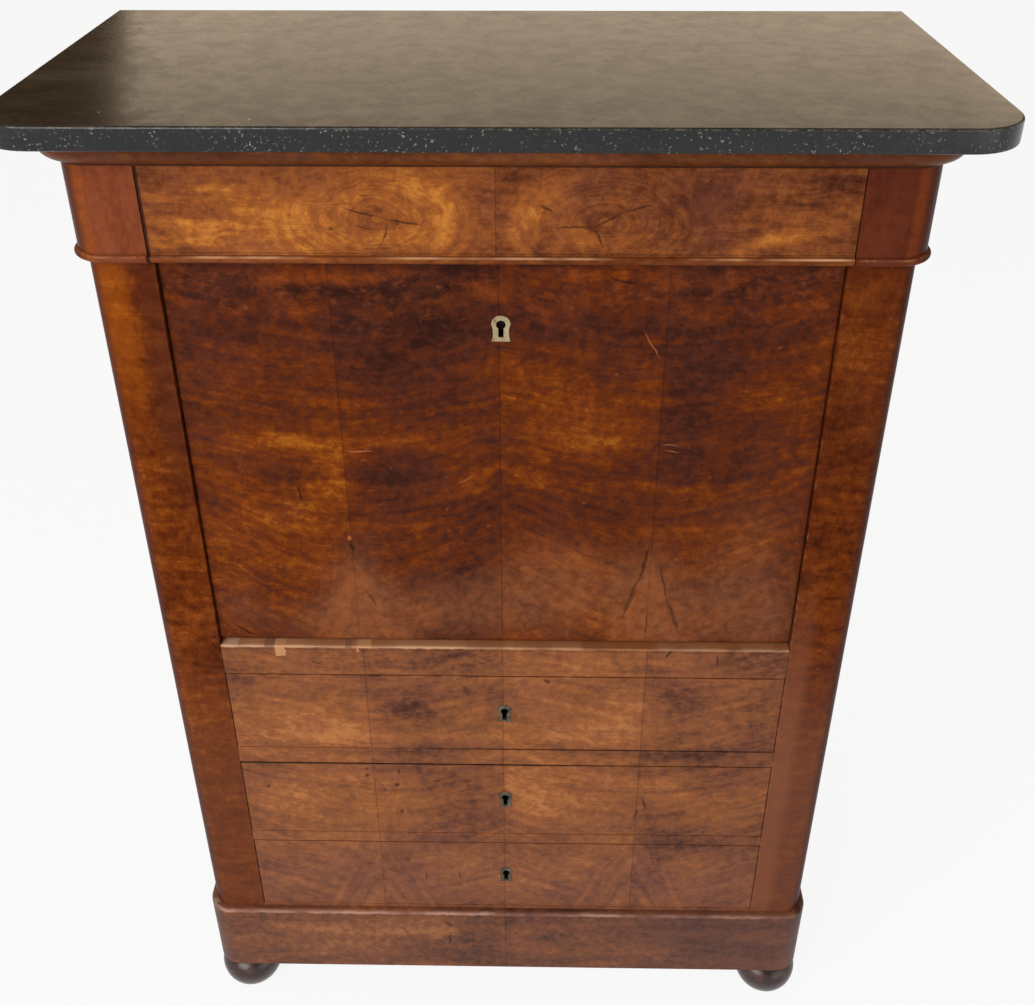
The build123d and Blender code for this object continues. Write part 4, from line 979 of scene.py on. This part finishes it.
# Dim wall of the room behind, which only reflections in the stone show
WALL_Y = 3.1
WALL_HALF = 4.0
WALL_LOW = 1.0
WALL_HIGH = 4.2
WALL_GLOW = (0.09, 0.05, 0.025, 1)
backing = Surface("dim_wall")
glow = backing.new("ShaderNodeEmission")
glow.inputs["Color"].default_value = WALL_GLOW
backing.put(backing.output, glow.outputs[0])
wall = sheet("dim_wall", [(-WALL_HALF, WALL_Y, WALL_LOW), (WALL_HALF, WALL_Y, WALL_LOW),
                          (WALL_HALF, WALL_Y, WALL_HIGH), (-WALL_HALF, WALL_Y, WALL_HIGH)], backing.material)
wall.visible_camera = False
wall.visible_diffuse = False
wall.visible_transmission = False
wall.visible_shadow = False

# Room: plain grey light, and white as far up as the views look
ROOM_GREY = (0.32, 0.307, 0.291, 1)
WHITE_RISE = 0.36  # sine of the angle over the horizon where the white ends
WHITE_FADE = 0.04
world = bpy.data.worlds.new("studio")
scene.world = world
world.use_nodes = True
sky = Graph(world.node_tree)
room = sky.tree.nodes["Background"]
room.inputs["Color"].default_value = ROOM_GREY
backdrop = sky.new("ShaderNodeBackground")
backdrop.inputs["Color"].default_value = (1, 1, 1, 1)
rise = sky.split(sky.new("ShaderNodeTexCoord").outputs["Generated"])[2]
share = sky.times(sky.seen(), sky.step(rise, WHITE_RISE + WHITE_FADE, WHITE_RISE))
blend = sky.new("ShaderNodeMixShader")
sky.fill(blend, {0: share, 1: room.outputs[0], 2: backdrop.outputs[0]})
sky.put(sky.tree.nodes["World Output"].inputs[0], blend.outputs[0])


def softbox(name, place, target, width, height, power, tint=(1, 1, 1)):
    """A rectangular lamp that faces the target."""
    lamp = bpy.data.lights.new(name, "AREA")
    lamp.shape = "RECTANGLE"
    lamp.size = width
    lamp.size_y = height
    lamp.energy = power
    lamp.color = tint
    holder = bpy.data.objects.new(name, lamp)
    holder.location = place
    holder.rotation_euler = (Vector(target) - Vector(place)).to_track_quat("-Z", "Y").to_euler()
    scene.collection.objects.link(holder)


softbox("key", place=(-1.7, -2.6, 2.4), target=(0, 0, 0.65), width=2.0, height=2.0, power=84,
        tint=(1.0, 0.97, 0.92))
softbox("fill", place=(2.4, -2.4, 1.4), target=(0, 0, 0.6), width=2.2, height=2.2, power=18)
softbox("back", place=(0.25, 2.6, 2.1), target=(0, 0, 1.4), width=3.3, height=1.3, power=15.0,
        tint=(1.0, 0.80, 0.58))

# Camera at the photo's place, with angles in radians and the photo's size in pixels
IMAGE_WIDTH = 1035
IMAGE_HEIGHT = 1005
SENSOR_WIDTH = 36.0
EYE = Vector((0.03809, -1.34834, 1.73646))
YAW = -0.01743
PITCH = 0.54563
ROLL = 0.0021
FOCAL_PIXELS = 1192.28
CENTRE_ROW = 433.59
forward = Vector((math.sin(YAW) * math.cos(PITCH), math.cos(YAW) * math.cos(PITCH), -math.sin(PITCH)))
level = Vector((math.cos(YAW), -math.sin(YAW), 0))
below = forward.cross(level)
right = level * math.cos(ROLL) + below * math.sin(ROLL)
down = below * math.cos(ROLL) - level * math.sin(ROLL)
lens = bpy.data.cameras.new("camera")
lens.sensor_fit = "HORIZONTAL"
lens.sensor_width = SENSOR_WIDTH
lens.lens = FOCAL_PIXELS * SENSOR_WIDTH / IMAGE_WIDTH
lens.shift_y = (CENTRE_ROW - IMAGE_HEIGHT / 2) / IMAGE_WIDTH
camera = bpy.data.objects.new("camera", lens)
camera.matrix_world = Matrix((
    (right.x, -down.x, -forward.x, EYE.x),
    (right.y, -down.y, -forward.y, EYE.y),
    (right.z, -down.z, -forward.z, EYE.z),
    (0, 0, 0, 1),
))
scene.collection.objects.link(camera)
scene.camera = camera
